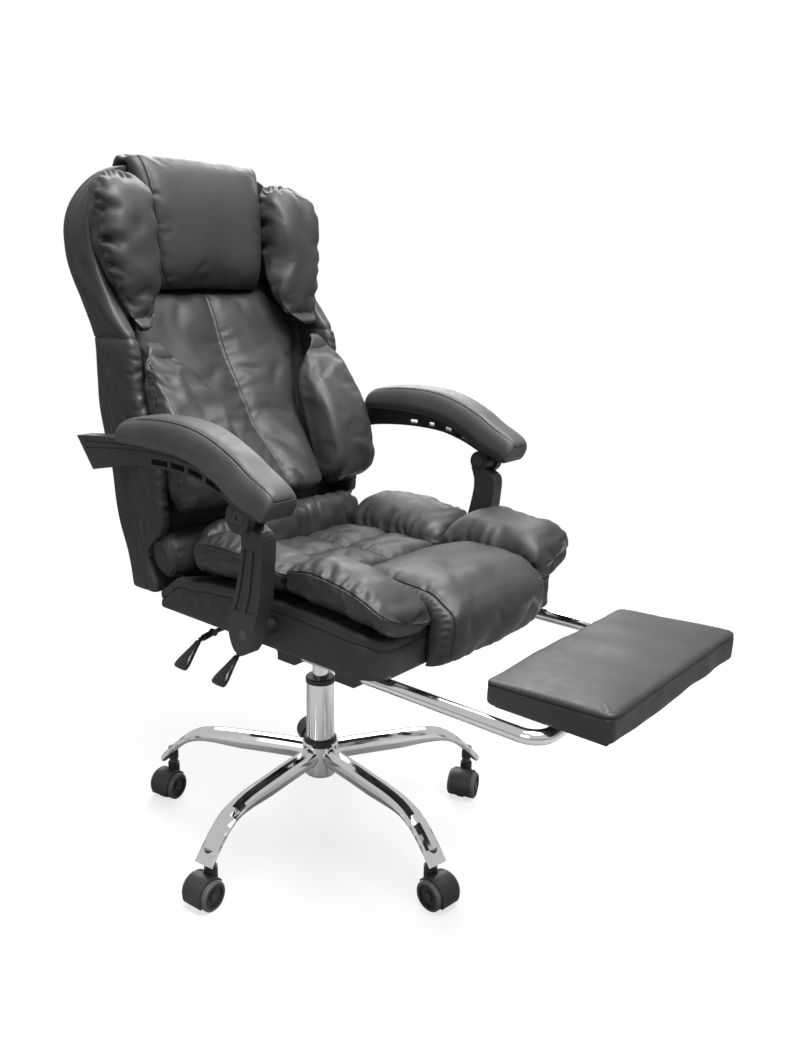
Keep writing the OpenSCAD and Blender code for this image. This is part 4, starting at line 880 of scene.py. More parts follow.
def cut_slots(obj):
    """Opens the cover where the hinge brackets pass through it while the back turns."""
    ring = (arc_points(*HINGE, SLOT_EYE, np.arange(-10, 188, 11))
            + arc_points(*HINGE, SLOT_REACH, np.arange(188, 319, 6.5))
            + arc_points(*HINGE, SLOT_NEAR, np.arange(320, 345, 6)))
    n = len(ring)
    faces = [tuple(range(n)), tuple(range(2 * n - 1, n - 1, -1))]
    faces += [(k, (k + 1) % n, n + (k + 1) % n, n + k) for k in range(n)]
    for side in (-1, 1):
        slot = Parts()
        slot.add([(side * BRACKET_X + d, y, z) for d in (-SLOT_HALF, SLOT_HALF) for y, z in ring], faces)
        tool = slot.mesh("slot_tool", [LEATHER], shade=False)
        mod = obj.modifiers.new("Slot", "BOOLEAN")
        mod.operation, mod.solver, mod.object = "DIFFERENCE", "EXACT", tool
        data = bpy.data.meshes.new_from_object(obj.evaluated_get(bpy.context.evaluated_depsgraph_get()))
        obj.modifiers.clear()
        obj.data = data
        bpy.data.objects.remove(tool)


def side_strip(side, seed):
    """Padded strip between the shell and the wing or bolster: smooth at the top, wrinkled lower down."""
    rng = random.Random(seed)
    z = np.linspace(STRIP_Z[0] - 44, BACK_LOW_Z + BACK_H - 36, 60)
    below = smooth((STRIP_Z[0] + 10 - z) / 50)
    front = strip_front(np.maximum(z, STRIP_Z[0])) * (1 - below) + (shell_front(z) - 5) * below
    rear = shell_front(z) + 14
    skin = stuffed(board_stations(shell_half(z) - STRIP_W / 2 + 0.2, (front + rear) / 2, z, STRIP_W / 2 + 0.6,
                                  (front - rear) / 2), 3.4, 40, step=2.8)
    height = skin.P[:, :, 2]
    low_part = smooth((CROSS_SEAM_Z + 5 - height) / 30)
    for place in paces(rng, -skin.half_v, skin.half_v, 7, 17):
        weight = float(low_part[int(np.argmin(np.abs(skin.v - place))), 0])
        if weight > 0.2:
            size = rng.uniform(18, 46)
            start = skin.ring_l / 4 - size * rng.uniform(0.2, 0.8)
            crease(skin, (start, place), (start + size, place + rng.uniform(-12, 12)), rng.uniform(0.8, 2.2) * weight,
                   rng.uniform(2.0, 3.4), fade=0, wrap=skin.ring_l)
    slack(skin, rng, 0.7, 60)
    skin.lift += seam_profile(height - CROSS_SEAM_Z, 2.2, 7, 0.8, 0.2)
    skin.press()
    finish_soft(Parts(skin), f"side_strip_{hand(side)}", "back", "back_shell", fill=0.8, side=side)


BACK_CUSHION = [(0.435, -0.160, 0.198), (0.435, -0.183, 0.225), (0.45, -0.150, 0.275), (0.53, -0.060, 0.37),
                (0.64, -0.006, 0.45), (0.745, 0.050, 0.545), (0.80, 0.073, 0.59), (0.72, 0.094, 0.64),
                (0.585, 0.122, 0.70)]


def back_cushion():
    """Middle cushion, with a padded seam down its centre and long soft folds."""
    rng = random.Random(11)
    at = curve_at(BACK_CUSHION, np.linspace(0, 1, 25))
    y, z = back_place(at[:, 1], at[:, 2])
    rear = shell_front(z) - 0.8
    skin = upholstered(board_stations(0, rear, z, at[:, 0] * BACK_W / 2, y - rear), 9, 14, edge=(0.95, 0.97),
                       lines=(0,))
    skin.lift += (-3.2 * np.exp(-(skin.U / 18) ** 2) + 1.2 * np.exp(-(skin.U / 2.6) ** 2)
                  - 1.3 * np.exp(-((np.abs(skin.U) - 3.8) / 1.0) ** 2))
    top = skin.half_v
    line_gathers(skin, rng, 0.0, 34, (0.3, 1.0), (14, 44), width=(2.6, 4.6))
    for sign in (-1, 1):
        for u0, v0, u1, v1, depth, width in (
                (66, top - 20, 78, top - 110, 2.6, 9), (98, top - 30, 92, top - 128, 2.0, 9),
                (40, top - 60, 56, top - 150, 1.3, 9), (120, top - 150, 60, top - 205, 2.4, 8),
                (10, top - 150, 70, top - 178, 2.0, 6), (18, -top + 40, 52, -top + 130, 2.8, 7)):
            crease(skin, (sign * u0, v0), (sign * u1, v1), depth, width, fade=0)
        bulge(skin, sign * 62, top - 150, 3.0, 34, 40)
        bulge(skin, sign * 60, -top + 110, 5.0, 44, 60)
    bulge(skin, -8, top - 205, -3.5, 16, 12)
    slack(skin, rng, 1.3, 90)
    skin.press()
    settle(skin, 2.2, 0.02, 4.5, pin_near(lambda u, v: u, 6))
    parts = Parts(skin)
    sew(parts, skin, np.zeros(200), np.linspace(-top + 20, top - 8, 200), 5.4)
    finish_soft(parts, "centre_cushion", "back", "back_cushion")


LUMBAR = [(0.194, 0.48, 0.87, -0.145, -0.108), (0.226, 0.46, 0.92, -0.190, -0.1085),
          (0.266, 0.455, 0.94, -0.204, -0.107), (0.323, 0.455, 0.947, -0.193, -0.100),
          (0.388, 0.476, 0.951, -0.170, -0.072), (0.438, 0.496, 0.947, -0.139, -0.049),
          (0.481, 0.545, 0.935, -0.109, -0.035), (0.523, 0.622, 0.915, -0.069, -0.030),
          (0.553, 0.703, 0.87, -0.029, -0.004), (0.585, 0.772, 0.83, 0.007, 0.030)]
WING = [(0.612, 0.51, 0.645, 0.037, 0.0626), (0.645, 0.34, 0.73, 0.024, 0.0646), (0.690, 0.20, 0.80, 0.020, 0.0626),
        (0.733, 0.10, 0.885, 0.019, 0.0836), (0.786, 0.06, 0.965, 0.022, 0.1086), (0.848, 0.055, 0.99, 0.027, 0.1211),
        (0.895, 0.055, 0.982, 0.037, 0.1211), (0.940, 0.09, 0.937, 0.057, 0.1266), (0.974, 0.24, 0.71, 0.089, 0.1436)]


def side_stations(shares, near, room, gap):
    """Stations of a bolster or wing, whose rear stays clear of the strip."""
    at = curve_at(shares, np.linspace(0, 1, 21))
    inner, outer = near + room * at[:, 1], near + room * at[:, 2]
    front, z = back_place(at[:, 3], at[:, 0])
    rear = HINGE[0] + at[:, 4] * BACK_H
    beside = np.clip((outer - (BACK_W / 2 - STRIP_W - STRIP_ROUND - BLEND)) / BLEND, 0, 1)
    rear = rear + beside * (np.minimum(rear, strip_front(z) - gap) - rear)
    return board_stations((inner + outer) / 2, rear, z, (outer - inner) / 2, front - rear)


def finish_side_pad(skin, name, side):
    """Settles, sews and makes a wing or a lumbar bolster."""
    skin.press()
    settle(skin, 2.4, 0.03, 4.0, held(skin))
    parts = Parts(skin)
    sew_loop(parts, skin, gap=2.8)
    finish_soft(parts, f"{name}_pad_{hand(side)}", "back", f"{name}_{hand(side)}", side=side)


def lumbar(side, seed):
    """Lower bolster, gathered at its foot and along its inner side."""
    rng = random.Random(seed)
    near_side = side < 0
    shares = [(z, inner - 0.05, outer, front, back) for z, inner, outer, front, back in LUMBAR]
    skin = upholstered(side_stations(shares, 0, BACK_W / 2, 2.6), 5, 7, edge=(0.80, 0.975), taper=0.6)
    open_inward(skin)
    skin.lift += seam_profile(edge_distance(skin), -0.8, 8, 1.3, 0.6)
    top = skin.edge[1]

    def strength(u, v):
        return 0 if v > top * 0.8 else 1.1 if v < -top * 0.45 else 0.9 if near_side else 0.3

    gathers(skin, rng, 14 if near_side else 19, (2.4, 5.0), (2.8, 4.8), (20, 52), strength)
    gathers(skin, rng, 18, (0.6, 1.4), (2.4, 3.2), (-18, -8))
    if near_side:
        crease(skin, (-20, 20), (18, -34), 1.6, 7, fade=0)
        crease(skin, (10, 66), (-22, 34), 1.6, 6, fade=0)
    slack(skin, rng, 1.3 if near_side else 0.6, 70)
    finish_side_pad(skin, "lumbar", side)


def wing(side, seed):
    """Head wing. The far one reaches further in, under the pillow and the middle cushion."""
    rng = random.Random(seed)
    near = PILLOW_W / 2
    reach = (0.25, 0.30, 0.30, 0.22, 0.14, 0.13, 0.13, 0.13, 0.13) if side > 0 else (0.02,) * 9
    shares = [(z, inner - r, outer, front, back) for (z, inner, outer, front, back), r in zip(WING, reach)]
    skin = upholstered(side_stations(shares, near, BACK_W / 2 - near, 1.9), 5, 8, edge=(0.80, 0.965), taper=0.7)
    open_inward(skin)
    skin.lift += seam_profile(edge_distance(skin), -1.2, 8, 1.3, 0.6)
    tip = -skin.edge[1] * 0.86

    def strength(u, v):
        return 0.5 if v < tip else 1.25 if abs(u) > 20 and -10 < v < 80 else 0.8

    gathers(skin, rng, 14, (2.6, 5.6), (3.0, 5.2), (22, 56), strength)
    gathers(skin, rng, 18, (0.6, 1.4), (2.4, 3.4), (-20, -8))
    crease(skin, (-6, 60), (10, -10), 1.6, 8, fade=0)
    slack(skin, rng, 1.2, 70)
    finish_side_pad(skin, "wing", side)


PILLOW = [(0.143, 0.708, 0.043, 100, 0.90), (0.170, 0.755, 0.085, 95, 0.95), (0.189, 0.82, 0.108, 90, 0.99),
          (0.184, 0.89, 0.097, 82, 1.01), (0.173, 0.948, 0.068, 66, 1.03), (0.164, 0.992, 0.036, 42, 1.06),
          (0.180, 1.003, 0.018, 8, 1.07), (0.203, 1.003, 0.026, -30, 1.07), (0.226, 0.965, 0.03, -62, 1.05)]


def head_pillow():
    """Pillow that wraps over the top of the back."""
    rng = random.Random(5)
    stations = []
    for y_share, z_share, thick, angle, wide in PILLOW:
        y, z = back_place(y_share, z_share)
        out = turned(angle)
        stations.append([np.array([0, y, z]) + out * 0.8, [-PILLOW_W / 2 * wide, 0, 0], out * thick * BACK_H])
    skin = upholstered(np.array(stations, float), 8, 12, edge=(0.90, 0.965))
    skin.lift += seam_profile(edge_distance(skin), 1.5, 5, 1.1, 0.7)
    gathers(skin, rng, 24, (0.4, 1.1), (2.2, 3.6), (10, 26))
    bottom = -skin.half_v
    crease(skin, (52, bottom + 44), (16, bottom + 70), 1.8, 5, fade=0)
    crease(skin, (skin.edge[0] - 6, bottom + 34), (skin.edge[0] - 46, bottom + 48), 1.6, 4)
    slack(skin, rng, 1.0, 110)
    skin.press()
    settle(skin, 1.5, 0.01, 3.5, held(skin))
    parts = Parts(skin)
    sew_loop(parts, skin)
    finish_soft(parts, "pillow", "back", "head_pillow", fill=0.85)


ROLL_SHARE = 0.077
ROLL_LEAN = 20.3
ROLL_H = 40.0
ROLL_D = 28.0
ROLL_SQUARE, ROLL_END = 2.2, 16


def back_roll():
    """Roll with flat ends, a double piping round each end and a gathered rear edge."""
    rng = random.Random(17)
    z = BACK_LOW_Z + ROLL_SHARE * BACK_H
    a, x_end = math.radians(ROLL_LEAN), BACK_W / 2 - 8
    out, up = np.array([0, -math.cos(a), math.sin(a)]), np.array([0, math.sin(a), math.cos(a)])
    centre = np.array([0, float(shell_front(z)), z]) + out * (ROLL_D + 0.6)
    stations = np.array([[centre + [s * x_end, 0, 0], out * ROLL_D, up * ROLL_H] for s in np.linspace(-1, 1, 5)])
    skin = stuffed(stations, ROLL_SQUARE, ROLL_END, step=3.0)
    for side in (-1, 1):
        v = side * (skin.half_v - 34)
        for place in paces(rng, 0.0, skin.ring_l, 8, 18):
            crease(skin, (place, v), (place + rng.uniform(-6, 6), v - side * rng.uniform(12, 34)),
                   rng.uniform(0.6, 1.8), rng.uniform(2, 3.2), wrap=skin.ring_l)
    slack(skin, rng, 0.8, 90)
    skin.press()
    parts = Parts(skin)
    angle = np.linspace(0, 2 * math.pi, 72, endpoint=False)
    ca, sa = (signed_power(f(angle), 2 / ROLL_SQUARE)[:, None] for f in (np.cos, np.sin))
    for x in (-x_end + 3.0, -x_end + 12.0, x_end - 12.0, x_end - 3.0):
        swell = dome(x / x_end, ROLL_END) + 0.035
        parts.add_piping(centre + [x, 0, 0] + swell * (out * ROLL_D * ca + up * ROLL_H * sa), 1.9)
    finish_soft(parts, "lower_roll", "back", "back_roll", fill=0.85)


# ---------------------------------------------------------------- seat

SEAT_BOX = [(0, 0.78), (0.06, 0.9), (0.3, 1), (0.6, 1), (0.76, 0.92), (0.92, 0.56), (1, 0.40)]
SEAT_CORNER = 44.0
SKIRT_LOW_ROUND, SKIRT_TOP_ROUND, SKIRT_REAR_ROUND = 5.0, 7.0, 5.0
SKIRT_SEAM = 17.0  # from the top edge down to the seam
SKIRT_STEP = 3.5
HUMP_Y, HUMP_H, HUMP_L = 92.0, 16.0, 32.0  # rise of the top edge behind the arm


def stacked(levels):
    """Grid of points, and each one's drop under the edge, from rings given as plan, height and drop."""
    points = np.array([np.column_stack([xy, np.broadcast_to(z, len(xy))]) for xy, z, _ in levels])
    return points, np.array([np.broadcast_to(drop, len(xy)) for xy, _, drop in levels], float)


def seat_top(y):
    """Height of the seat box's top at a place from front to rear."""
    places = [s[0] * SEAT_L - SEAT_FRONT for s in SEAT_BOX]
    return np.interp(y, places, [SEAT_Z + s[1] * BOX_H for s in SEAT_BOX])


def skirt_outline():
    """Plan of the seat box, from one rear corner along its side and front to the other, and back along its rear."""
    half, rear, r = SEAT_W / 2, SEAT_L - SEAT_FRONT, SKIRT_REAR_ROUND
    outline = [(half, y) for y in np.arange(rear - r, -SEAT_FRONT + SEAT_CORNER, -SKIRT_STEP)]
    outline += arc_points(half - SEAT_CORNER, -SEAT_FRONT + SEAT_CORNER, SEAT_CORNER, np.linspace(0, -90, 26))
    outline += [(x, -SEAT_FRONT) for x in np.arange(half - SEAT_CORNER - SKIRT_STEP, 0, -SKIRT_STEP)]
    outline = outline + [(0, -SEAT_FRONT)] + [(-x, y) for x, y in outline[::-1]]
    outline += arc_points(-half + r, rear - r, r, np.linspace(165, 105, 4))
    outline += [(x, rear) for x in np.arange(-half + 6, half - 5, 6)]
    outline += arc_points(half - r, rear - r, r, np.linspace(75, 15, 4))
    return np.array(outline)


def seat_box():
    """Skirt of the seat: a wall round the box with a seam under its top edge."""
    rng = random.Random(23)
    ring = skirt_outline()
    ahead = np.roll(ring, -1, 0) - np.roll(ring, 1, 0)
    out = unit(np.stack([-ahead[:, 1], ahead[:, 0]], 1))
    if np.sum(out * (ring - ring.mean(0))) < 0:
        out = -out
    top = seat_top(ring[:, 1]) + HUMP_H * np.exp(-((ring[:, 1] - HUMP_Y) / HUMP_L) ** 2)
    levels = []
    for a in np.radians((5, 30, 60)):
        lift = SKIRT_LOW_ROUND * (1 - math.cos(a))
        levels.append((ring - out * (SKIRT_LOW_ROUND * (1 - math.sin(a)) + 1), SEAT_Z + lift, top - SEAT_Z - lift))
    near = [SKIRT_SEAM + d for d in (8, 6, 4.6, 3.4, 2.4, 1.5, 0.7, 0, -0.7, -1.5, -2.4, -3.4, -4.6, -6)]
    low = SEAT_Z + SKIRT_LOW_ROUND
    for w in np.linspace(0, 1, 12)[:-1]:
        z = low + (top - near[0] - low) * w
        levels.append((ring, z, top - z))
    levels += [(ring, top - drop, drop) for drop in near + [9.5, 8]]
    for a in np.radians((20, 45, 70, 88)):
        sink = SKIRT_TOP_ROUND * (1 - math.sin(a))
        levels.append((ring - out * SKIRT_TOP_ROUND * (1 - math.cos(a)), top - sink, sink))
    P, drop = stacked(levels)
    skin = Skin(P, lengths(ring), np.arange(len(P)), np.ones(P.shape[:2]))
    skin.V = P[:, :, 2]
    skin.lift += seam_profile(drop - SKIRT_SEAM, 1.6, 5, 1.1, 0.6)
    for place in paces(rng, 20.0, skin.u[-1] * 0.8, 24, 60):
        z = SEAT_Z + rng.uniform(6, 20)
        crease(skin, (place, z + 34), (place + rng.uniform(-10, 10), z), rng.uniform(0.3, 1.3), rng.uniform(3, 6),
               fade=0)
    slack(skin, rng, 0.6, 120)
    skin.lift *= smooth((P[:, :, 2] - SEAT_Z) / 8)
    skin.press()
    finish_soft(Parts(skin), "seat_skirt", "seat", "seat_base", fill=0.9)


TUFT_REAR = HINGE[0] - 97
TUFT_D = 56.0
TUFT_HALF_W = 192.0


def quilt():
    """Quilted middle of the seat: a double seam from front to rear and one across."""
    rng = random.Random(41)
    front = PANEL_L - SEAT_FRONT + 0.3
    rear = TUFT_REAR - TUFT_D - 0.3
    stations = np.array([[[0, front + t * (rear - front), SEAT_PAD_Z], [CENTRE_W / 2, 0, 0], [0, 0, CENTRE_H]]
                         for t in np.linspace(0, 1, 5)])
    skin = upholstered(stations, 8, 8, lines=(0,), cross=(0,))
    skin.lift += seam_profile(skin.U, 4.5, 12, 0.9, 1.2) + seam_profile(skin.V, 4.5, 12, 0.9, 0.4)
    line_gathers(skin, rng, 0.0, 18, (0.5, 1.5), (12, 34))
    for sign in (-1, 1):
        crease(skin, (sign * 20, -40), (sign * 84, -62), 2.0, 6, fade=0)
        crease(skin, (sign * 30, 56), (sign * 90, 30), 1.8, 6, fade=0)
        bulge(skin, sign * 62, -45, 3, 30, 26)
        bulge(skin, sign * 62, 48, 3, 30, 26)
    slack(skin, rng, 1.0, 70)
    skin.press()
    settle(skin, 1.5, 0.02, 3.0, pin_near(lambda u, v: np.minimum(np.abs(u), np.abs(v)), 6))
    parts = Parts(skin)
    sew(parts, skin, np.zeros(120), np.linspace(-skin.half_v + 8, skin.half_v - 8, 120), 3.6)
    sew(parts, skin, np.linspace(-skin.half_u + 20, skin.half_u - 20, 120), np.zeros(120), 3.0)
    finish_soft(parts, "seat_quilt", "seat", "seat_cushion", fill=0.6)


REAR_LOBE = [(-1, 0.58, 0.86), (-0.68, 0.66, 1.02), (-0.4, 0.97, 1.06), (0, 1, 1.08), (0.4, 0.97, 1.06),
             (0.68, 0.66, 1.02), (1, 0.58, 0.86)]


def rear_tuft():
    """Wrinkled lobe across the seat's rear."""
    rng = random.Random(43)
    low = float(seat_top(TUFT_REAR - TUFT_D / 2)) + 4
    stations = []
    for x, d, h in REAR_LOBE:
        front, top = TUFT_REAR - d * TUFT_D, SEAT_PAD_Z + h * SEAT_PAD_H
        stations.append([[x * TUFT_HALF_W, (front + TUFT_REAR) / 2, (low + top) / 2], [0, 0, (top - low) / 2],
                         [0, (TUFT_REAR - front) / 2, 0]])
    skin = stuffed(np.array(stations, float), 3, 12)
    wrap = skin.ring_l
    for place in paces(rng, -skin.half_v + 14, skin.half_v - 14, 10, 24):
        u = wrap * rng.uniform(-0.12, 0.02) % wrap
        crease(skin, (u - 24, place), (u + 26, place + rng.uniform(-9, 9)), rng.uniform(0.8, 2.4),
               rng.uniform(2.4, 4), fade=0, wrap=wrap)
    for x in (-96, 0, 96):
        skin.lift += -3.0 * np.exp(-((skin.V - x) / 7) ** 2)
    slack(skin, rng, 1.1, 60)
    skin.press()
    settle(skin, 2.2, 0.03, 3.5)
    finish_soft(Parts(skin), "rear_tuft", "seat", "seat_cushion")


FRONT_LOBE = [(-0.034, 0.62), (0.03, 0.92), (0.14, 1.0), (0.27, 1.0), (0.382, 0.70)]
FRONT_LOBE_NEAR = [(-0.034, 0.36), (0.03, 0.64), (0.14, 0.90), (0.27, 0.99), (0.382, 0.72)]
SIDE_LOBE = [(0.386, 0.68), (0.46, 0.83), (0.6, 0.95), (0.72, 0.96), (0.822, 0.82)]


def seat_lobe(name, shares, side, seed, strength):
    """Side lobe with a gathered double seam low on its outer side."""
    rng = random.Random(seed)
    inner, outer = PANEL_W / 2 + 0.3, SEAT_W / 2 + 5
    half = (outer - inner) / 2
    stations = []
    for share, high_share in curve_at(shares, np.linspace(0, 1, 12)):
        y = share * SEAT_L - SEAT_FRONT
        low, high = float(seat_top(max(y, -SEAT_FRONT))) + 3.6, SEAT_PAD_Z + high_share * SEAT_PAD_H
        stations.append([[(inner + outer) / 2, y, (low + high) / 2], [half, 0, half * 0.16],
                         [0, 0, (high - low) / 2]])
    skin = stuffed(np.array(stations), 2.5, 7, angles=(20, 192))
    wrap, top = skin.ring_l, skin.ring_l / 4

    def past(u, seam):
        """Distance round the lobe from a seam."""
        return (u - seam + wrap / 2) % wrap - wrap / 2

    for seam, way in zip(skin.line_u, (1, -1)):
        skin.lift += seam_profile(past(skin.U, seam), -2.4, 9, 1.3, 0.6)
        line_gathers(skin, rng, seam, 13, (2.0 * strength, 4.8 * strength), (18, 60), (way,), wrap, (2.8, 5.0))
        line_gathers(skin, rng, seam, 13, (0.6 * strength, 1.8 * strength), (8, 20), (-way,), wrap)
    for place in (-0.35, 0.25):
        v = place * 2 * skin.half_v
        crease(skin, (top - 40, v), (top + 44, v + rng.uniform(-22, 22)), 1.9 * strength, 6, fade=0, wrap=wrap)
    slack(skin, rng, 1.2, 70)
    skin.press()
    settle(skin, 2.2, 0.03, 3.5,
           pin_near(lambda u, v: np.min([np.abs(past(u, seam)) for seam in skin.line_u], axis=0), 5))
    parts, normals = Parts(skin), skin.normals()
    for seam in skin.line_u:
        for d in (-3.0, 3.0):
            j = int(np.argmin(np.abs(past(skin.u, seam + d))))
            parts.add_threads(skin.P[4:-4, j], normals[4:-4, j])
    finish_soft(parts, f"{name}_{hand(side)}", "seat", f"seat_bolster_{hand(side)}", side=side)


FRONT_PANEL = [(0.366, 1, 0, 0.28), (0.30, 1, 0, 0.42), (0.19, 0.954, 4, 0.62), (0.06, 0.90, 24, 0.69),
               (0.03, 0.84, 48, 0.73), (0, 0.778, 68, 0.71), (0, 0.46, 91, 0.65), (0, 0.006, 95, 0.48)]
PANEL_SQUARE = 9.0


def front_panel():
    """Waterfall front with a double seam down each side and a pleated gusset outside it."""
    rng = random.Random(51)
    stations = []
    for y_share, z_share, angle, thick in FRONT_PANEL:
        at = np.array([0, y_share * SEAT_L - SEAT_FRONT, SEAT_Z + z_share * BOX_H])
        stations.append([at + turned(min(angle * 1.3, 90)), [-PANEL_W / 2, 0, 0], turned(angle) * thick * SEAT_PAD_H])
    skin = upholstered(np.array(stations, float), 7, 9, edge=(0.90, 0.965))
    skin.lift += seam_profile(edge_distance(skin, PANEL_SQUARE), 1.8, 5, 1.2, 0.9)
    gathers(skin, rng, 16, (0.5, 1.5), (2.2, 3.6), (12, 34), square=PANEL_SQUARE)
    for sign in (-1, 1):
        u = sign * (skin.edge[0] + 5)
        for place in paces(rng, -skin.half_v, skin.half_v, 9, 18):
            crease(skin, (u, place), (u + sign * 30, place + rng.uniform(4, 18)), rng.uniform(1.6, 3.4),
                   rng.uniform(2.4, 3.8))
    crease(skin, (-60, 20), (30, 44), 1.4, 9, fade=0)
    crease(skin, (70, -10), (-10, -30), 1.3, 10, fade=0)
    slack(skin, rng, 1.1, 110)
    skin.press()
    settle(skin, 1.8, 0.015, 3.5, held(skin))
    parts = Parts(skin)
    sew_loop(parts, skin, PANEL_SQUARE)
    finish_soft(parts, "waterfall_front", "seat", "seat_front_panel")


# ---------------------------------------------------------------- arms and footrest

ARM_PAD = [(0.815, 0.2425, 0.86, 0), (0.579, 0.245, 1.0, 2), (0.363, 0.233, 1.1, 10), (0.229, 0.203, 1.15, 27),
           (0.101, 0.148, 1.18, 35), (-0.021, 0.078, 1.18, 34), (-0.158, 0.036, 1.1, 36)]
ARM_FOOT = np.array([-128.0, 478.0])
UPRIGHT_L = 177.5
UPRIGHT_LEAN = 3.0
ARM_X = 291.0
PAD_W = 52.0
PAD_H = 40.0
PAD_SINK, PAD_SWELL, PAD_SQUARE = 4.5, 3.5, 8.0


def arm_pad(side, seed):
    """Padded rest over the arm's beam, in a lighter copy of the leather whose colour paints the light on the pad's
    top.
    """
    rng = random.Random(seed)
    a = math.radians(UPRIGHT_LEAN)
    disc = ARM_FOOT + UPRIGHT_L * np.array([-math.sin(a), math.cos(a)])
    run = HINGE[0] - ARM_FOOT[0]
    stations = []
    for y_share, z_share, thick, angle in ARM_PAD:
        at = disc + run * np.array([y_share, z_share])
        out = turned(angle)
        stations.append([np.array([ARM_X, *at]) - out * PAD_SINK, [-PAD_W / 2 - PAD_SWELL, 0, 0],
                         out * (thick * PAD_H + PAD_SINK + 2)])
    stations[-1][0] += np.array([0, -7, -4])
    skin = upholstered(np.array(stations, float), 4, 9, step=2.2, edge=(0.80, 0.965), lip=0.34)
    skin.lift += seam_profile(edge_distance(skin, PAD_SQUARE), 0.9, 4, 1.0, 0.6)
    slack(skin, rng, 0.5, 80)
    gathers(skin, rng, 30, (0.2, 0.6), (2.0, 3.2), (8, 18), square=PAD_SQUARE)
    skin.press()
    parts = Parts(skin)
    sew_loop(parts, skin, PAD_SQUARE, 2.2)
    # The cover is the lighter copy of the leather, with the light on the pad's top painted into its colour.
    finish_soft(parts, f"arm_cushion_{hand(side)}", f"arm_{hand(side)}", f"arm_pad_{hand(side)}", fill=0.85,
                side=side, cover=PAINTED_LIGHT_PAD_LEATHER)


FOOT_CORNER = 13.0
FOOT_WALL, FOOT_RISE, FOOT_CROWN = 33.0, 7.0, 8.0
FOOT_LOW_ROUND = 6.0
FOOT_ARC, FOOT_LONG, FOOT_SHORT = 9, 62, 30  # columns on a corner, along the front or rear, and along an end


def footrest_pad():
    """Boxed cushion: walls with a seam under the top edge and a slightly crowned top."""
    rng = random.Random(61)
    low, high = span("footrest_pad")
    half_w, half_d = (high[0] - low[0]) / 2, (high[1] - low[1]) / 2
    middle, base = (low[1] + high[1]) / 2, low[2] + 0.1
    counts = (FOOT_LONG, FOOT_SHORT, FOOT_LONG, FOOT_SHORT)

    def outline(inset):
        w, d, r = half_w - inset, half_d - inset, max(FOOT_CORNER - inset, 2.0)
        corners = [arc_points(x, y, r, np.linspace(start, start + 90, FOOT_ARC)) for x, y, start in
                   ((w - r, d - r, 0), (-w + r, d - r, 90), (-w + r, -d + r, 180), (w - r, -d + r, 270))]
        ring = []
        for k, corner in enumerate(corners):
            first, second = np.array(corner[-1]), np.array(corners[(k + 1) % 4][0])
            ring += corner + [tuple(first + (second - first) * t) for t in np.linspace(0, 1, counts[k] + 2)[1:-1]]
        return np.array(ring)

    def top_z(xy):
        t = (xy[:, 1] + half_d) / (2 * half_d)
        crown = (1 - (xy[:, 0] / half_w) ** 2) * (1 - (xy[:, 1] / half_d) ** 2)
        return base + FOOT_WALL + FOOT_RISE * (1 - t) + FOOT_CROWN * np.sqrt(np.maximum(crown, 0))

    levels = [(outline(inset), base + lift, 40.0 - lift)
              for inset, lift in ((9, 0), (5, 0.4), (2, 1.8), (0.6, 3.6), (0, FOOT_LOW_ROUND))]
    wall, foot = outline(0), base + FOOT_LOW_ROUND
    edge_z = top_z(wall) - 4.0
    levels += [(wall, foot + (edge_z - foot) * (1 - drop / 28.0), drop)
               for drop in (26, 23, 20, 17, 14, 11.5, 9, 7, 5, 3.4, 2.4, 1.6, 0.8, 0)]
    insets = [*np.arange(6, 12, 1.2), *np.arange(12, half_d - 4, 3.0)]
    for inset, sink in [(0.5, 2.2), (1.4, 1.0), (2.6, 0.3), (4, 0)] + [(inset, 0) for inset in insets]:
        xy = outline(inset)
        levels.append((xy, top_z(xy) - sink, -inset - 1.0))
    P, drop = stacked(levels)
    P[:, :, 1] += middle
    ring = lengths(P[10, :, :2])
    skin = Skin(P, ring, np.arange(len(P)), np.ones(P.shape[:2]))
    skin.V = -drop
    skin.fold = 4 * FOOT_ARC + sum(counts[:3]) - 1
    skin.lift += seam_profile(drop - 1.6, 0.8, 4, 1.0, 0.9)
    for place in paces(rng, 0.0, ring[-1], 14, 44):
        crease(skin, (place, -3.0),
               (place + rng.uniform(-8, 8), -3.0 + rng.choice((-1, -1, 1)) * rng.uniform(8, 22)),
               rng.uniform(0.3, 1.1), rng.uniform(2, 4))
    for k in FOOT_ARC // 2 + np.cumsum([0] + [FOOT_ARC + n for n in counts[:3]]):
        for d in (-9, 0, 8):
            crease(skin, (ring[k] + d, -2.0), (ring[k] + d * 1.6, -24), 1.2, 2.6)
            crease(skin, (ring[k] + d, 2.0), (ring[k] + d * 1.4, 26), 1.0, 2.8)
    skin.lift += 0.32 * ripples(rng, P[:, :, 0], P[:, :, 1] + P[:, :, 2], 9, 70, 180)
    upper = drop[:, 0] < -8
    skin.P[upper, :, 2] += skin.lift[upper]
    skin.lift[upper] = 0
    skin.press()
    parts, row = Parts(skin), int(np.argmin(np.abs(drop[:, 0] + 5.5)))
    parts.add_threads(skin.P[row], skin.normals()[row], closed=True)
    finish_soft(parts, "footrest_cushion", "footrest", "footrest_pad", fill=0.85)


# ---------------------------------------------------------------- stage, light and camera

WHITE = (1, 1, 1, 1)
LAMP_AIM = (0, 0, 0.6)
CAMERA_AT = (-1.12955, -1.06781, 0.96473)
CAMERA_DOWN, CAMERA_TURN = 14.458, -46.497  # degrees under the horizon, and about the vertical


def mixed(tree, factor, first, second):
    """Output of a shader that goes from one shader to another."""
    mix = tree.nodes.new("ShaderNodeMixShader")
    for source, place in zip((factor, first, second), mix.inputs):
        tree.links.new(source, place)
    return mix.outputs["Shader"]


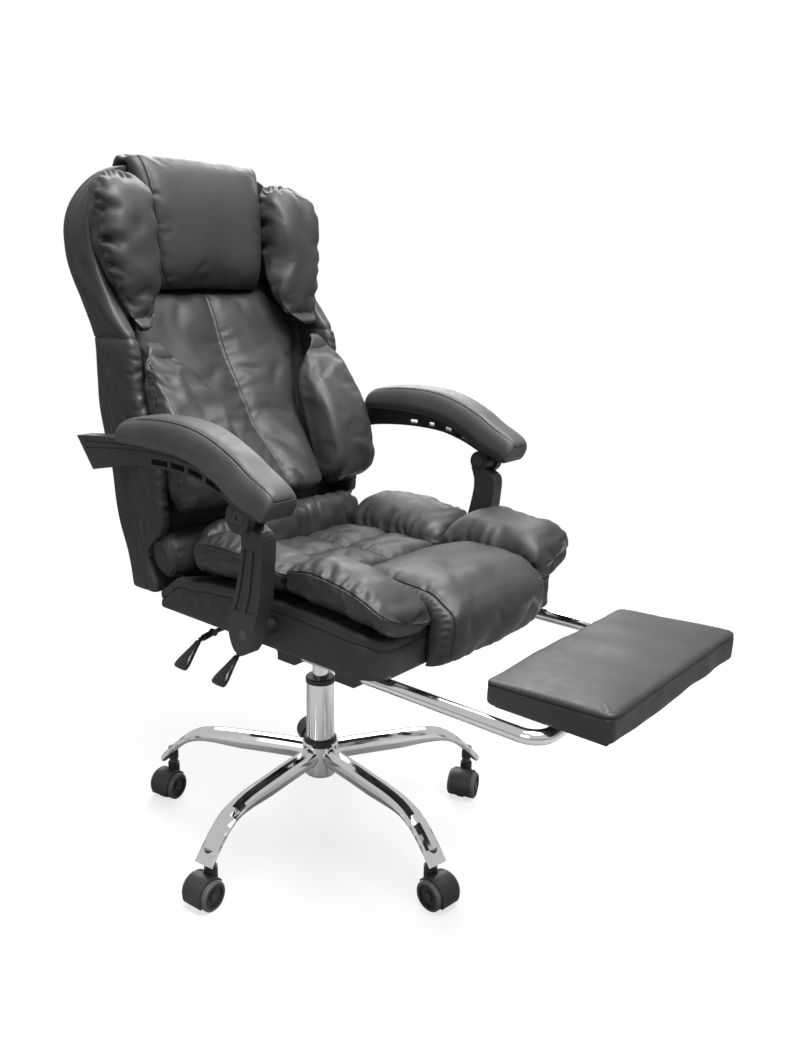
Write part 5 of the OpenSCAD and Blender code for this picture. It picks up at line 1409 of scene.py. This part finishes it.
def stage():
    """Floor that is white to the camera and fades into the backdrop, and dim to everything else."""
    data = bpy.data.meshes.new("floor")
    size = 12.0
    data.from_pydata([(-size, -size, 0), (size, -size, 0), (size, size, 0), (-size, size, 0)], [], [(0, 1, 2, 3)])
    floor = bpy.data.objects.new("floor", data)
    bpy.context.scene.collection.objects.link(floor)
    look = Look("floor", (0.95, 0.95, 0.95), 0.9)
    rays = look.node("ShaderNodeLightPath")
    glow = look.node("ShaderNodeEmission", Strength=1.0, Color=WHITE)
    dim = look.node("ShaderNodeBsdfDiffuse", Color=(0.30, 0.30, 0.30, 1))
    reach = look.node("ShaderNodeVectorMath", operation="LENGTH")
    look.link(look.place, reach.inputs[0])
    far = look.node("ShaderNodeMapRange", From_Min=0.7, From_Max=2.0, To_Min=0.72, To_Max=1.0)
    look.link(reach.outputs["Value"], far.inputs["Value"])
    seen = mixed(look.tree, far.outputs["Result"], look.shader.outputs["BSDF"], glow.outputs["Emission"])
    look.link(mixed(look.tree, rays.outputs["Is Camera Ray"], dim.outputs["BSDF"], seen),
              look.tree.nodes["Material Output"].inputs["Surface"])
    data.materials.append(look.material)


def world():
    """White to the camera, half bright in reflections, and a low even light on the object."""
    made = bpy.data.worlds.new("studio")
    bpy.context.scene.world = made
    made.use_nodes = True
    tree = made.node_tree

    def backing(node, strength):
        node.inputs["Color"].default_value = WHITE
        node.inputs["Strength"].default_value = strength
        return node.outputs["Background"]

    light = backing(tree.nodes["Background"], 0.14)
    mirrored = backing(tree.nodes.new("ShaderNodeBackground"), 0.55)
    seen = backing(tree.nodes.new("ShaderNodeBackground"), 1.0)
    rays = tree.nodes.new("ShaderNodeLightPath").outputs
    unseen = mixed(tree, rays["Is Glossy Ray"], light, mirrored)
    tree.links.new(mixed(tree, rays["Is Camera Ray"], unseen, seen), tree.nodes["World Output"].inputs["Surface"])


def lamp(name, place, power, size):
    """Square soft light that aims at the middle of the chair."""
    data = bpy.data.lights.new(name, "AREA")
    data.energy, data.size = power, size
    obj = bpy.data.objects.new(name, data)
    obj.location = place
    obj.rotation_euler = (Vector(LAMP_AIM) - Vector(place)).to_track_quat("-Z", "Y").to_euler()
    bpy.context.scene.collection.objects.link(obj)


def camera():
    """Camera at the photograph's view. Its shift is the photograph's framing."""
    data = bpy.data.cameras.new("camera")
    data.sensor_width = 36.0
    data.lens = 31.784
    data.shift_x, data.shift_y = 0.0733, -0.0034
    obj = bpy.data.objects.new("camera", data)
    obj.location = CAMERA_AT
    obj.rotation_euler = (math.radians(90 - CAMERA_DOWN), 0, math.radians(CAMERA_TURN))
    bpy.context.scene.collection.objects.link(obj)
    bpy.context.scene.camera = obj


dress_nodes()
back_shell()
for side in (-1, 1):
    side_strip(side, 70 + side)
    lumbar(side, 80 + side)
    wing(side, 90 + side)
    seat_lobe("front_lobe", FRONT_LOBE_NEAR if side < 0 else FRONT_LOBE, side, 100 + side, 1.0)
    seat_lobe("rear_lobe", SIDE_LOBE, side, 110 + side, 0.7)
    arm_pad(side, 120 + side)
back_cushion()
head_pillow()
back_roll()
seat_box()
quilt()
rear_tuft()
front_panel()
footrest_pad()

stage()
world()
lamp("key", (-0.2, -1.0, 3.2), 215, 2.2)
lamp("fill", (-2.9, -0.8, 1.5), 14, 1.6)
lamp("rim", (1.7, 1.6, 2.6), 105, 2.2)
camera()

bpy.context.scene.view_settings.view_transform = "Standard"
